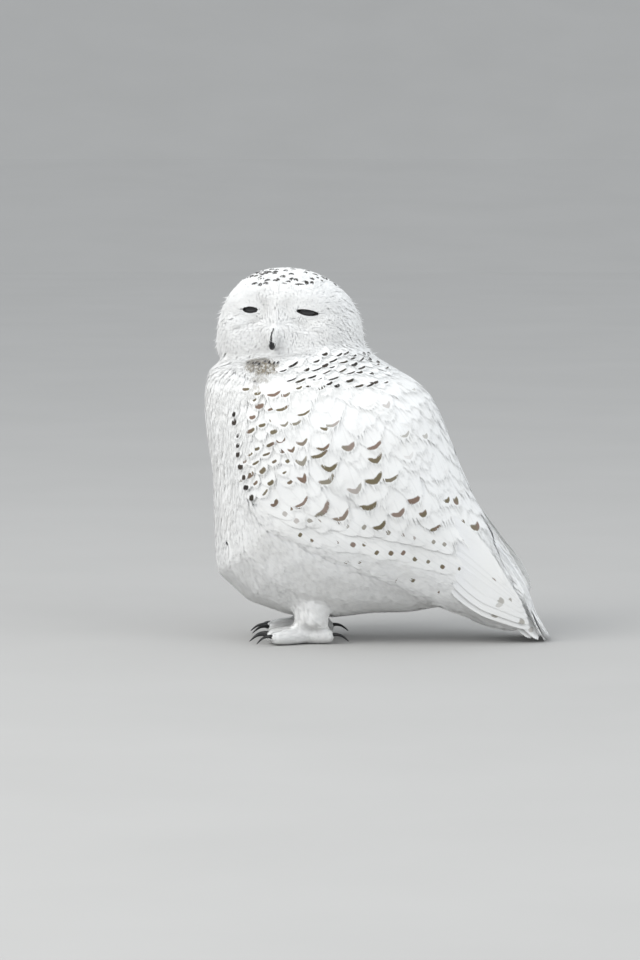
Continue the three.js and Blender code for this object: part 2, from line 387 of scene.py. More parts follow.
def headWay(points):
    # on the face away from the eyes and the bill, down over the chin, up between the eyes
    across, forward, up = toHead(points).T
    side = np.where(across > 0, 1, -1)
    local = np.stack([across, forward, up], -1)
    fromEye = unit(local - rowsOf(side * eyeInHead["apart"], 50, eyeInHead["up"]))
    bill = unit(local - np.array([0, 62, 22]))
    onBill = hill(np.hypot(across, up - 18), 24)[:, None]
    below = ramp(up, 26, 2)[:, None]
    lowered = onBill * ramp(up, 30, 20)[:, None]
    bill = bill * (1 - lowered) + rowsOf(-0.22 * side, 0.2, -1.0) * lowered
    radial = unit(fromEye * (1 - onBill) * (1 - 0.5 * below) + bill * (0.25 + 1.1 * onBill))
    radial = unit(radial + np.array([0, 0, -0.8]) * below)
    seam = (hill(across, 13) * ramp(up, 26, 36))[:, None]
    radial[:, :1] *= 1 - seam
    radial = unit(radial + np.array([0, 0, 0.7]) * seam)
    # elsewhere back over the crown and down the nape
    back = rowsOf(0.12 * across / 80, -1, -0.15 - 0.006 * np.abs(across))
    back[:, 2] -= ramp(forward, -10, -70) * 0.9
    back[:, 2] -= ramp(up, 20, -30) * 1.6
    face = ramp(forward, 12, 42)[:, None] * ramp(up, 84, 66)[:, None]
    return unit(radial * face + unit(back) * (1 - face)) @ headAxes


wingWay = {"upper": (0.37, -0.93), "lower": (0.84, -0.54)}


def bodyWay(points):
    behind, height = toSide(points)
    level = ramp(height, 340, 60)
    way = rowsOf(0, 0.12 + 0.7 * level, -1 + 0.42 * level)
    onWing = wingShare(points)[:, None]
    low = wingLevel(behind, height)[:, None]
    slant = (1 - low) * np.array([0, *wingWay["upper"]]) + low * np.array([0, *wingWay["lower"]])
    return unit(way * (1 - onWing) + slant * onWing)


# The folded wing's lower edge from the wrist to its tip, as height over the way behind
lowerEdge = {
    "behind": (-70, -30, 20, 70, 130, 175, 215, 280),
    "height": (190, 142, 118, 96, 70, 46, 26, 18),
}


def edgeHeight(behind):
    return np.interp(behind, lowerEdge["behind"], lowerEdge["height"])


def wingLevel(behind, height):
    # 1 along the wing's lower edge, 0 up among the scapulars
    return ramp(height - edgeHeight(behind), 85, 25)


def wingShare(points):
    behind, height = toSide(points)
    out = np.abs(points[:, 0]) / mm
    front = -62 + 12 * hill(height - 240, 60)
    inside = ramp(behind, front - 8, front + 10) * ramp(height, 318, 296) * ramp(out, 14, 34)
    return inside * (height > edgeHeight(behind) - 4)


def lie(points, normals):
    share = onHead(points)[:, None]
    way = headWay(points) * share + bodyWay(points) * (1 - share)
    return unit(way - normals * dot(way, normals))


# Feather shapes. A template is a flat feather: how far across (-1 to 1) and along (0 to 1) each
# of its points is, and which barb it belongs to. Past the split it ends in pointed barbs.

def makeTemplate(points, faces, barbs, split):
    across, along, barb = np.array(points, float).T
    return {"across": across, "along": along, "barb": barb.astype(int),
            "barbs": barbs, "split": split, "faces": np.array(faces)}


def featherShape(columns, rows):
    split = rows[-1]
    across = np.linspace(-1, 1, columns)
    points = [(u, v, -1) for v in rows for u in across]
    faces = []
    for row in range(len(rows) - 1):
        for column in range(columns - 1):
            a = row * columns + column
            faces += [(a, a + 1, a + columns + 1), (a, a + columns + 1, a + columns)]
    lastRow = (len(rows) - 1) * columns
    gap = across[1] - across[0]
    for barb in range(columns - 1):
        middle = (across[barb] + across[barb + 1]) / 2
        start = len(points)
        half = split + 0.55 * (1 - split)
        points += [(middle + gap * out, half, barb) for out in (-0.3, 0.3)] + [(middle, 1, barb)]
        left = lastRow + barb
        faces += [(left, left + 1, start + 1), (left, start + 1, start), (start, start + 1, start + 2)]
    return makeTemplate(points, faces, columns - 1, split)


def lockShape(locks, spread):
    # a few narrow pointed locks from one root
    points, faces = [], []
    for lock in range(locks):
        lean = (lock - (locks - 1) / 2) / max(1, (locks - 1) / 2) * spread
        start = len(points)
        for v, wide in ((0, 0.34), (0.5, 0.26), (1, 0)):
            for u in ((-wide, wide) if wide else (0,)):
                points.append((u + lean * (0.25 + 0.75 * v), v, lock))
        faces += [(start + a, start + b, start + c) for a, b, c in ((0, 1, 3), (0, 3, 2), (2, 3, 4))]
    return makeTemplate(points, faces, locks, 0.4)


tuftShape = featherShape(6, (0, 0.34, 0.62))
coverShape = featherShape(17, (0, 0.2, 0.38, 0.54, 0.68, 0.82))
quillShape = featherShape(11, tuple(np.linspace(0, 0.975, 15)))
bristleShape = lockShape(3, 0.8)


# Even random places on the form, at least the spacing apart, wherever keep says

faceCorners = np.array([(f[0], f[1], f[2], f[-1]) for f in formFaces])
faceMiddles = formPoints[faceCorners].mean(1)
faceSizes = np.linalg.norm(np.cross(
    formPoints[faceCorners[:, 2]] - formPoints[faceCorners[:, 0]],
    formPoints[faceCorners[:, 3]] - formPoints[faceCorners[:, 1]],
), axis=1) / 2


def neighbours(cell):
    x, y, z = cell
    return [(x + i, y + j, z + k) for i in (0, -1, 1) for j in (0, -1, 1) for k in (0, -1, 1)]


def isNear(cells, home, place, spacing):
    x, y, z = place
    for cell in neighbours(home):
        for px, py, pz in cells.get(cell, ()):
            if (px - x) ** 2 + (py - y) ** 2 + (pz - z) ** 2 < spacing**2:
                return True
    return False


def scatter(spacing, keep, seed):
    random = np.random.default_rng(seed)
    chosen = np.flatnonzero(keep(faceMiddles))
    sizes = faceSizes[chosen]
    count = int(sizes.sum() / spacing**2 * 4)
    picks = random.choice(chosen, count, p=sizes / sizes.sum())
    s, t = random.random((2, count, 1))
    a, b, c, d = (formPoints[faceCorners[picks, i]] for i in range(4))
    places = (a * (1 - s) + b * s) * (1 - t) + (d * (1 - s) + c * s) * t
    cells = {}
    kept = []
    for i, place in enumerate(places.tolist()):
        home = tuple(int(value // spacing) for value in place)
        if not isNear(cells, home, place, spacing):
            cells.setdefault(home, []).append(place)
            kept.append(i)
    places = places[kept]
    return places[keep(places)]


# Unwraps of the skin's own shape, for the baked colours: the head as a disc round the face,
# and the body slit along its back and rolled flat.

def unwrapHead(points):
    across, forward, up = toHead(points).T
    away = np.arccos(np.clip(forward / np.sqrt(across**2 + forward**2 + (up - 20) ** 2), -1, 1))
    turn = np.arctan2(up - 20, across)
    return np.stack([away * np.cos(turn), away * np.sin(turn)], -1)


def unwrapBody(points):
    behind, height = toSide(points)
    along = 0.6 * behind - 0.8 * height
    back = 0.8 * (behind - 60) + 0.6 * (height - 215)
    return np.stack([np.arctan2(points[:, 0] / mm, back), along / 110], -1)


def fitToSquare(flat):
    low, high = flat.min(0), flat.max(0)
    return 0.02 + 0.95 * (flat - low) / np.maximum(high - low, 1e-6)


# Feathers grown from their roots, as one mesh

# Shares of a feather's length and width, and its patch's size on the unwrap
featherForm = {"widest": 0.6, "rootWide": 0.25, "shaftWide": 0.09, "patch": 0.003}


def walkOut(roots, ways, turned, length, look):
    # the middle line of each feather from its root, with the normals and ways along it. A feather
    # with a facing is held straight, its upper side facing that way; the others follow the form,
    # but for the free share of their length.
    steps = look.get("steps", 4)
    if "facing" in look:
        place = roots
        turned = turned * 0
        normal = unit(look["facing"] - unit(ways) * dot(look["facing"], unit(ways)))
    else:
        place, normal = ontoForm(roots)
    way = unit(ways - normal * dot(ways, normal))
    way = way * np.cos(turned)[:, None] + np.cross(normal, way) * np.sin(turned)[:, None]
    places, normals, waysAlong = [place], [normal], [way]
    for step in range(steps):
        place = place + way * (length / steps)[:, None]
        if "facing" not in look and (step + 1) / steps <= 1 - look.get("free", 0):
            place, normal = ontoForm(place)
            way = unit(way - normal * dot(way, normal))
        places.append(place)
        normals.append(normal)
        waysAlong.append(way)
    places, normals, waysAlong = (np.stack(a, 1) for a in (places, normals, waysAlong))
    if "bow" in look:
        t = np.linspace(0, 1, steps + 1)
        places = places + normals * (look["bow"][:, None] * 4 * t * (1 - t))[..., None]
    return places, normals, waysAlong


def newMesh(name, points, triangles):
    mesh = bpy.data.meshes.new(name)
    mesh.vertices.add(len(points))
    mesh.vertices.foreach_set("co", points.astype(np.float32).ravel())
    mesh.loops.add(triangles.size)
    mesh.loops.foreach_set("vertex_index", triangles.astype(np.int32).ravel())
    mesh.polygons.add(len(triangles))
    mesh.polygons.foreach_set("loop_start", np.arange(0, triangles.size, 3, dtype=np.int32))
    mesh.update(calc_edges=True)
    mesh.polygons.foreach_set("use_smooth", np.ones(len(triangles), bool))
    return addObject(name, mesh)


def growFeathers(name, shape, roots, ways, seed, look, coat, marks=None):
    random = np.random.default_rng(seed)
    unwrap, material = coat
    count = len(roots)
    length = look["long"] * mm * random.uniform(*look.get("vary", (0.85, 1.15)), count)
    length = look.get("lengths", length)
    width = look["wide"] / 2 * mm * random.uniform(0.9, 1.1, count)
    turned = np.radians(look.get("scatter", 6)) * random.standard_normal(count)
    places, normals, waysAlong = walkOut(roots, ways, turned, length, look)
    steps = places.shape[1] - 1

    # the template's points: u across and v along, with its barbs raggedly long and bent aside
    across, along, barb = shape["across"], shape["along"], shape["barb"]
    ragged = look.get("ragged", 0.25)
    lengthen = random.uniform(-ragged, ragged, (count, shape["barbs"]))
    sway = random.uniform(-1, 1, (count, shape["barbs"])) * look.get("sway", 0.06)
    pastSplit = np.maximum(0, (along - shape["split"]) / (1 - shape["split"])) * (barb >= 0)
    u = across[None] + sway[:, barb] * pastSplit
    v = along[None] * (1 + lengthen[:, barb] * pastSplit * (1 - shape["split"]))
    v = v * (1 - look.get("round", 0.3) * u**2)
    swell = np.sin(np.clip(along / featherForm["widest"], 0, 1) * math.pi / 2) ** 0.6
    swell = featherForm["rootWide"] + (1 - featherForm["rootWide"]) * swell
    swell = swell * (1 - look.get("taper", 0.15) * np.maximum(0, along - 0.6) / 0.4)
    beside = u * swell * width[:, None]

    # laid along each feather's middle line
    at = np.clip(v, 0, 1.2) * steps
    low = np.minimum(at.astype(int), steps - 1)
    rest = (at - low)[..., None]
    rows = np.arange(count)[:, None]
    spot = places[rows, low] + (places[rows, low + 1] - places[rows, low]) * rest
    normal = unit(normals[rows, low] * (1 - rest) + normals[rows, low + 1] * rest)
    way = unit(waysAlong[rows, low] * (1 - rest) + waysAlong[rows, low + 1] * rest)
    points = spot + np.cross(way, normal) * beside[..., None]
    if look.get("hug"):
        free = look.get("free", 0)
        onto, ontoNormal = ontoForm(points)
        held = ramp(v, 1.2 - free, 0.9 - free)[..., None] if free else 1
        points = points * (1 - held) + onto * held
        normal = unit(normal * (1 - held) + ontoNormal * held)

    # and raised or sunk, in millimetres over the form
    depth = look["deep"] * (1 - np.clip(v, 0, 1)) ** 1.5
    if "shallow" in look:
        depth = depth * look["shallow"](roots)[:, None]
    lift = look.get("lift", 0) * np.clip(v, 0, 1.2) ** 3 * random.uniform(0.2, 1.6, (count, 1))
    cup = look.get("cup", 0) * u**2
    shaft = look.get("shaft", 0) * hill(u, featherForm["shaftWide"]) * np.clip(1.1 - v, 0, 1)
    random.standard_normal(count)  # not used, but the draws after it depend on it
    level = look.get("level", 0) + random.uniform(-0.3, 0.3, (count, 1)) * look.get("layers", 0.6)
    points = points + normal * ((level - depth + lift - cup + shaft) * mm)[..., None]
    lowest = random.uniform(0.3, 1.2, (count, 1)) * mm
    points[..., 2] = np.maximum(points[..., 2], lowest)

    number = len(across)
    triangles = (shape["faces"][None] + (np.arange(count) * number)[:, None, None]).reshape(-1, 3)
    a, b, c = (points.reshape(-1, 3)[triangles[:, i]] for i in range(3))
    inwards = dot(np.cross(b - a, c - a), normal.reshape(-1, 3)[triangles[:, 0]])[:, 0] < 0
    triangles[inwards] = triangles[inwards][:, ::-1]
    piece = newMesh(name, points.reshape(-1, 3), triangles)
    mesh = piece.data

    corner = triangles.ravel()
    flat = np.stack([(across + 1) / 2, along], -1)
    flat = np.broadcast_to(flat, (count, number, 2))
    setMap(mesh, "vane", flat.reshape(-1, 2)[corner])
    if marks:
        fromRoot = np.stack([beside, np.clip(v, 0, 1.3) * length[:, None]], -1) / mm
        markAlong = length / mm - marks["fromTip"]
        markPlace = np.stack([marks["aside"], markAlong], -1)[:, None]
        inMark = (fromRoot - markPlace) / marks["size"][:, None]
        rememberMarks(places, markAlong * mm / length * steps, marks)
        setMap(mesh, "mark", inMark.reshape(-1, 2)[corner])
        setAttribute(piece, "bend", np.repeat(marks["bend"], number))
    tone = marks["tone"] if marks else look.get("tone", np.zeros(count))
    setAttribute(piece, "tone", np.repeat(tone, number))
    home = fitToSquare(unwrap(roots))[:, None]
    inPatch = home + (flat - [0.5, 0]) * featherForm["patch"]
    setMap(mesh, "OFBake", inPatch.reshape(-1, 2)[corner])
    mesh.uv_layers["vane"].active_render = True
    mesh.uv_layers.active = mesh.uv_layers["vane"]
    own = vertexArray(piece, "normal").reshape(count, number, 3)
    own = own * np.where(dot(own, normal) < 0, -1, 1)
    soft = look.get("soft", 0.6)
    shading = unit(own * (1 - soft) + normal * soft)
    mesh.normals_split_custom_set_from_vertices(shading.reshape(-1, 3))
    print(name, count, "feathers", len(triangles), "triangles")
    return dress(piece, material, "feathers")


paintedMarks = []  # place, radius and darkness of each mark, for the skin


def rememberMarks(places, at, marks):
    low = np.minimum(at.astype(int), places.shape[1] - 2)
    rows = np.arange(len(places))
    spot = places[rows, low] + (places[rows, low + 1] - places[rows, low]) * (at - low)[:, None]
    radius = marks["size"].mean(1) * mm
    dark = 1 + np.minimum(0, marks["tone"])
    paintedMarks.append(np.column_stack([spot, radius, dark])[marks["shown"]])


def setMap(mesh, name, corners):
    layer = mesh.uv_layers.new(name=name)
    layer.data.foreach_set("uv", corners.astype(np.float32).ravel())


# Materials

colours = {
    "snow": (0.9, 0.9, 0.89), "warmSnow": (0.86, 0.85, 0.82), "coolSnow": (0.84, 0.85, 0.86),
    # root is painted shade: the grey of each feather's covered root
    "root": (0.85, 0.855, 0.86), "down": (0.86, 0.86, 0.86), "paleDown": (0.90, 0.90, 0.89),
    "olive": (0.17, 0.142, 0.088), "mauve": (0.215, 0.15, 0.115), "black": (0.022, 0.018, 0.016),
    "mottle": (0.15, 0.125, 0.09), "paleMottle": (0.40, 0.36, 0.29), "bristle": (0.03, 0.03, 0.033),
    # rim: the black of the lids' rims, also used as painted shade in the sockets
    "mark": (0.16, 0.13, 0.10), "rim": (0.012, 0.011, 0.011), "pupil": (0.004, 0.004, 0.005),
    # the iris colours are painted shade from the half-closed lids, almost black in place of the iris's own
    # yellow
    "lidShadedIris": (0.012, 0.010, 0.008), "lidShadedIrisStreak": (0.022, 0.018, 0.012), "irisEdge": (0.004, 0.004, 0.004),
    "horn": (0.010, 0.010, 0.011), "wornHorn": (0.035, 0.034, 0.033),
    "floor": (0.44, 0.435, 0.425), "paleFloor": (0.48, 0.475, 0.465),
}


def newMaterial(name):
    material = bpy.data.materials.new(name)
    material.use_nodes = True
    tree = material.node_tree
    return material, tree, tree.nodes["Principled BSDF"]


def newGroup(name, inputs, outputs):
    group = bpy.data.node_groups.new(name, "ShaderNodeTree")
    for socketName, kind, value in inputs:
        socket = group.interface.new_socket(socketName, in_out="INPUT", socket_type=kind)
        if value is not None:
            socket.default_value = value
    for socketName, kind in outputs:
        group.interface.new_socket(socketName, in_out="OUTPUT", socket_type=kind)
    start = group.nodes.new("NodeGroupInput")
    end = group.nodes.new("NodeGroupOutput")
    return group, start, end


def mathNode(tree, operation, *values):
    node = tree.nodes.new("ShaderNodeMath")
    node.operation = operation
    for socket, value in zip(node.inputs, values):
        if isinstance(value, (int, float)):
            socket.default_value = value
        else:
            tree.links.new(value, socket)
    return node.outputs[0]


def rampNode(tree, value, start, end, low=0.0, high=1.0):
    node = tree.nodes.new("ShaderNodeMapRange")
    node.interpolation_type = "SMOOTHSTEP"
    tree.links.new(value, node.inputs["Value"])
    for name, amount in (("From Min", start), ("From Max", end), ("To Min", low), ("To Max", high)):
        node.inputs[name].default_value = amount
    return node.outputs["Result"]


def mixNode(tree, factor, a, b, blend="MIX"):
    node = tree.nodes.new("ShaderNodeMix")
    node.data_type = "RGBA"
    node.blend_type = blend
    sockets = (node.inputs["Factor"], node.inputs[6], node.inputs[7])
    for socket, value in zip(sockets, (factor, a, b)):
        if isinstance(value, (int, float)):
            socket.default_value = value
        elif isinstance(value, tuple):
            socket.default_value = (*value, 1)
        else:
            tree.links.new(value, socket)
    return node.outputs[2]


def noiseNode(tree, scale, detail=2.0, vector=None):
    node = tree.nodes.new("ShaderNodeTexNoise")
    node.inputs["Scale"].default_value = scale
    node.inputs["Detail"].default_value = detail
    if vector is None:
        vector = tree.nodes.new("ShaderNodeTexCoord").outputs["Object"]
    tree.links.new(vector, node.inputs["Vector"])
    return node.outputs["Fac"]


def attributeNode(tree, name):
    node = tree.nodes.new("ShaderNodeAttribute")
    node.attribute_name = name
    return node.outputs["Fac"]


def mapNode(tree, name):
    node = tree.nodes.new("ShaderNodeUVMap")
    node.uv_map = name
    return node.outputs["UV"]


def splitNode(tree, vector):
    node = tree.nodes.new("ShaderNodeSeparateXYZ")
    tree.links.new(vector, node.inputs[0])
    return node.outputs


def makeMarkGroup():
    # one dark mark on a feather: a bar or spot, or a crescent with its arms towards the root
    inputs = [("Place", "NodeSocketVector", None), ("Bend", "NodeSocketFloat", 0.0)]
    tree, start, end = newGroup("featherMark", inputs, [("Mask", "NodeSocketFloat")])
    across, along, _ = splitNode(tree, start.outputs["Place"])
    square = mathNode(tree, "MULTIPLY", across, across)
    curve = mathNode(tree, "MULTIPLY", square, 0.6)
    gull = mathNode(tree, "MULTIPLY_ADD", mathNode(tree, "ABSOLUTE", across), 0.6, curve)
    bent = mathNode(tree, "ADD", along, mathNode(tree, "MULTIPLY", gull, start.outputs["Bend"]))
    wide = mathNode(tree, "MULTIPLY", square, square)
    away = mathNode(tree, "SQRT", mathNode(tree, "ADD", wide, mathNode(tree, "MULTIPLY", bent, bent)))
    rough = mathNode(tree, "SUBTRACT", noiseNode(tree, 420, 3), 0.5)
    away = mathNode(tree, "ADD", away, mathNode(tree, "MULTIPLY", rough, 0.55))
    tree.links.new(rampNode(tree, away, 1.2, 0.68), end.inputs["Mask"])
    return tree


def makeBarbGroup():
    # fine barbs slanting off the shaft, as a height and a slight shade
    inputs = [("Vane", "NodeSocketVector", None), ("Count", "NodeSocketFloat", 40.0)]
    outputs = [("Height", "NodeSocketFloat"), ("Shade", "NodeSocketFloat")]
    tree, start, end = newGroup("featherBarbs", inputs, outputs)
    across, along, _ = splitNode(tree, start.outputs["Vane"])
    fromShaft = mathNode(tree, "ABSOLUTE", mathNode(tree, "SUBTRACT", across, 0.5))
    slanted = mathNode(tree, "SUBTRACT", along, mathNode(tree, "MULTIPLY", fromShaft, 0.5))
    wobble = mathNode(tree, "MULTIPLY", noiseNode(tree, 160, 2), 0.05)
    phase = mathNode(tree, "MULTIPLY", mathNode(tree, "ADD", slanted, wobble), start.outputs["Count"])
    wave = mathNode(tree, "SINE", mathNode(tree, "MULTIPLY", phase, 2 * math.pi))
    height = mathNode(tree, "MULTIPLY_ADD", wave, 0.5, 0.5)
    tree.links.new(height, end.inputs["Height"])
    shaft = rampNode(tree, fromShaft, 0.0, 0.05, 0.94, 1.0)
    lines = mathNode(tree, "MULTIPLY_ADD", wave, 0.02, 0.98)
    tree.links.new(mathNode(tree, "MULTIPLY", shaft, lines), end.inputs["Shade"])
    return tree


def makePlumageGroup():
    # the white of the plumage: faintly warmer and greyer in patches, and greyed down towards the roots with
    # painted shade
    inputs = [("Along", "NodeSocketFloat", 1.0)]
    tree, start, end = newGroup("plumageWhite", inputs, [("Color", "NodeSocketColor")])
    patches = rampNode(tree, noiseNode(tree, 22, 3), 0.35, 0.75)
    patches = mathNode(tree, "MULTIPLY", patches, 0.35)
    warm = mixNode(tree, patches, colours["snow"], colours["warmSnow"])
    fine = rampNode(tree, noiseNode(tree, 300, 2), 0.3, 0.7)
    fine = mixNode(tree, mathNode(tree, "MULTIPLY", fine, 0.25), warm, colours["coolSnow"])
    # painted shade: each feather greys towards its root, where the feathers over it shade it
    down = rampNode(tree, start.outputs["Along"], 0.0, 0.55)
    shadedToRoot = mixNode(tree, down, colours["root"], fine)
    tree.links.new(shadedToRoot, end.inputs["Color"])
    return tree


markGroup = makeMarkGroup()
barbGroup = makeBarbGroup()
plumageGroup = makePlumageGroup()


def groupNode(tree, group, **values):
    node = tree.nodes.new("ShaderNodeGroup")
    node.node_tree = group
    for name, value in values.items():
        if isinstance(value, (int, float)):
            node.inputs[name].default_value = value
        else:
            tree.links.new(value, node.inputs[name])
    return node.outputs


def markColour(tree, tone):
    warmer = rampNode(tree, noiseNode(tree, 30, 1), 0.45, 0.6)
    brown = mixNode(tree, warmer, colours["olive"], colours["mauve"])
    return mixNode(tree, tone, brown, colours["black"])


def bumpNode(tree, shader, height, strength, distance):
    bump = tree.nodes.new("ShaderNodeBump")
    bump.inputs["Strength"].default_value = strength
    bump.inputs["Distance"].default_value = distance
    tree.links.new(height, bump.inputs["Height"])
    tree.links.new(bump.outputs["Normal"], shader.inputs["Normal"])


def setShader(shader, values):
    for name, value in values.items():
        shader.inputs[name].default_value = value


def finishCoat(tree, shader, color, height, distance):
    bumpNode(tree, shader, height, 0.35, distance)
    tree.links.new(color, shader.inputs["Base Color"])
    setShader(shader, {"Roughness": 0.88, "Specular IOR Level": 0.25})
    setShader(shader, {"Sheen Weight": 0.15, "Sheen Roughness": 0.5})


def vaneNodes(tree, barbs):
    # the white of a feather, and the height of its barbs
    vane = mapNode(tree, "vane")
    lines = groupNode(tree, barbGroup, Vane=vane, Count=barbs)
    plumage = groupNode(tree, plumageGroup, Along=splitNode(tree, vane)[1])["Color"]
    return mixNode(tree, 1.0, plumage, lines["Shade"], "MULTIPLY"), lines["Height"]


def makeTuftMaterial(name, barbs):
    # plain small feathers; tone tints a whole feather, and blackens it at 2
    material, tree, shader = newMaterial(name)
    shade, height = vaneNodes(tree, barbs)
    tint = mixNode(tree, noiseNode(tree, 260, 3), colours["mottle"], colours["paleMottle"])
    tone = attributeNode(tree, "tone")
    tinted = mathNode(tree, "MULTIPLY", tone, rampNode(tree, noiseNode(tree, 330, 2), 0.35, 0.6, 0.35))
    black = rampNode(tree, tone, 1.1, 1.9)
    color = mixNode(tree, black, mixNode(tree, tinted, shade, tint), colours["bristle"])
    finishCoat(tree, shader, color, height, 0.1 * mm)
    return material


def makeVaneMaterial(name, barbs):
    # larger feathers, each with its own dark mark near the tip
    material, tree, shader = newMaterial(name)
    shade, height = vaneNodes(tree, barbs)
    mark = groupNode(tree, markGroup, Place=mapNode(tree, "mark"), Bend=attributeNode(tree, "bend"))
    tone = attributeNode(tree, "tone")
    faint = rampNode(tree, tone, -1.0, 0.0)
    dark = markColour(tree, rampNode(tree, tone, 0.0, 1.0))
    mask = mathNode(tree, "MULTIPLY", mark["Mask"], faint)
    finishCoat(tree, shader, mixNode(tree, mask, shade, dark), height, 0.12 * mm)
    return material


def makeSkinMaterial():
    material, tree, shader = newMaterial("downySkin")
    # black along the lids' rims, their own colour, and as painted shade on the sunk skin under the slits
    rim = rampNode(tree, attributeNode(tree, "rim"), lids["rimWide"] * 0.7, lids["rimWide"] * 1.1)
    down = mixNode(tree, noiseNode(tree, 500, 4), colours["down"], colours["paleDown"])
    marked = mixNode(tree, attributeNode(tree, "tone"), down, colours["mark"])
    color = mixNode(tree, rim, colours["rim"], marked)
    finishCoat(tree, shader, color, noiseNode(tree, 900, 3), 0.3 * mm)
    return material


def makeEyeMaterial():
    material, tree, shader = newMaterial("eyeGloss")
    fromMiddle = attributeNode(tree, "fromMiddle")
    # the iris is painted almost black: painted shade from the lids over it
    lidShadedIris = mixNode(tree, noiseNode(tree, 700, 4), colours["lidShadedIris"], colours["lidShadedIrisStreak"])
    ring = mixNode(tree, rampNode(tree, fromMiddle, 11.5, 12.5), lidShadedIris, colours["irisEdge"])
    color = mixNode(tree, rampNode(tree, fromMiddle, 7.6, 8.2), colours["pupil"], ring)
    tree.links.new(color, shader.inputs["Base Color"])
    setShader(shader, {"Roughness": 0.12, "Coat Weight": 1.0, "Coat Roughness": 0.03})
    return material


def makeHornMaterial():
    # black horn, with growth lines and a duller, paler worn patch here and there
    material, tree, shader = newMaterial("blackHorn")
    wear = rampNode(tree, noiseNode(tree, 180, 4), 0.45, 0.8)
    color = mixNode(tree, wear, colours["horn"], colours["wornHorn"])
    gloss = rampNode(tree, noiseNode(tree, 350, 3), 0.3, 0.7, 0.28, 0.48)
    tree.links.new(color, shader.inputs["Base Color"])
    tree.links.new(gloss, shader.inputs["Roughness"])
    lines = tree.nodes.new("ShaderNodeTexWave")
    lines.inputs["Scale"].default_value = 260
    lines.inputs["Distortion"].default_value = 3
    tree.links.new(tree.nodes.new("ShaderNodeTexCoord").outputs["Object"], lines.inputs["Vector"])
    bumpNode(tree, shader, lines.outputs["Fac"], 0.15, 0.05 * mm)
    return material


def makeFloorMaterial():
    material, tree, shader = newMaterial("paleFloor")
    color = mixNode(tree, noiseNode(tree, 3, 4), colours["floor"], colours["paleFloor"])
    tree.links.new(color, shader.inputs["Base Color"])
    setShader(shader, {"Roughness": 0.9, "Specular IOR Level": 0.1})
    return material


skinMaterial = makeSkinMaterial()
hornMaterial = makeHornMaterial()
eyeMaterial = makeEyeMaterial()
headTufts = makeTuftMaterial("headFeathers", 14)
bodyTufts = makeTuftMaterial("bodyFeathers", 22)
coverVanes = makeVaneMaterial("markedCoverts", 42)
quillVanes = makeVaneMaterial("flightFeathers", 110)

# Each coat's unwrap and material
headPlain, bodyPlain = (unwrapHead, headTufts), (unwrapBody, bodyTufts)
headCovers, bodyCovers = (unwrapHead, coverVanes), (unwrapBody, coverVanes)
bodyQuills = (unwrapBody, quillVanes)


# Where each kind of feather grows

faceDisc = {"wide": 76, "high": 60, "up": 24, "front": 14}


def onFace(points):
    across, forward, up = toHead(points).T
    disc = (across / faceDisc["wide"]) ** 2 + ((up - faceDisc["up"]) / faceDisc["high"]) ** 2 < 1
    return disc & (forward > faceDisc["front"])


def clearOfSlits(points, margin=1.3):
    # off the open eyes, and off the bill's bare lower part
    clear = np.ones(len(points), bool)
    for side in sides:
        across, up, forward = toEye(points, side).T
        clear &= (insideSlit(across, up, side, margin) < 0) | (forward < 3)
    across, forward, up = toHead(points).T
    onBill = (np.abs(across) < 5.2 * ramp(up, 12, 6)) & (forward > 50) & (up > -1)
    return clear & ~onBill


# Where the regions end, in millimetres
limits = {
    "head": {"up": -38, "height": 316},
    "feet": {"behind": 75, "height": 27},
    "tail": {"behind": 238, "height": 62, "out": 60},
    "rump": {"out": 45},
}


def isHead(points):
    ends = limits["head"]
    return (toHead(points)[:, 2] > ends["up"]) & (toSide(points)[1] > ends["height"])


def nearFeet(points):
    behind, height = toSide(points)
    return (height < limits["feet"]["height"]) & (behind < limits["feet"]["behind"])


def isTail(points):
    behind, height = toSide(points)
    ends = limits["tail"]
    return (height < ends["height"]) & (behind > ends["behind"]) & (np.abs(points[:, 0]) < ends["out"] * mm)


def tailShare(points):
    # 1 over the tail and the wing tips, falling to 0 up the rump and out over the wings
    behind, height = toSide(points)
    return ramp(behind, 205, 235) * ramp(height, 130, 95) * ramp(np.abs(points[:, 0]) / mm, 58, 50)


def isRump(points):
    inside = np.abs(points[:, 0]) < limits["rump"]["out"] * mm
    return (tailShare(points) > 0.1) & ~isTail(points) & inside


def isWingTip(points):
    return (tailShare(points) > 0.1) & ~isTail(points) & ~isRump(points)


def isWing(points):
    return wingShare(points) > 0.5


def isBody(points):
    hind = isTail(points) | isRump(points) | isWingTip(points)
    return ~isHead(points) & ~isWing(points) & ~hind & ~nearFeet(points)


def plainMottle(points):
    # the grey-brown patch tucked in under the chin
    behind, height = toSide(points)
    patch = ramp(np.hypot((behind + 31) / 20, (height - 331) / 8.5), 1.15, 0.75)
    smear = 0.5 * ramp(np.hypot((behind + 34) / 13, (height - 315) / 9), 1.15, 0.5)
    return np.maximum(patch, smear) * (points[:, 0] > 0)


def growPlain(name, shape, spacing, keep, seed, look, coat, tone=None):
    roots = scatter(spacing * mm, keep, seed)
    _, normals = ontoForm(roots)
    if tone is not None:
        look = {**look, "tone": tone(roots)}
    growFeathers(name, shape, roots, lie(roots, normals), seed + 1, look, coat)


def nearEyes(points):
    # the small feathers on the lids and along the bill hug the skin
    shallow = np.ones(len(points))
    for side in sides:
        across, up, forward = toEye(points, side).T
        shallow *= 1 - 0.6 * ramp(np.hypot(across / 1.25, up), 19, 10) * (forward > 0)
    across, forward, up = toHead(points).T
    return shallow * (1 - 0.6 * hill(across, 9) * ramp(forward, 55, 62))


# A look says how the feathers of a piece are grown, in millimetres where it is a length:
# long, wide, deep (how far the root is sunk), lift (of the tip), level (over the form),
# layers (how far neighbours differ in level), scatter (degrees), ragged and sway (of the barbs),
# soft (shaded as one surface).

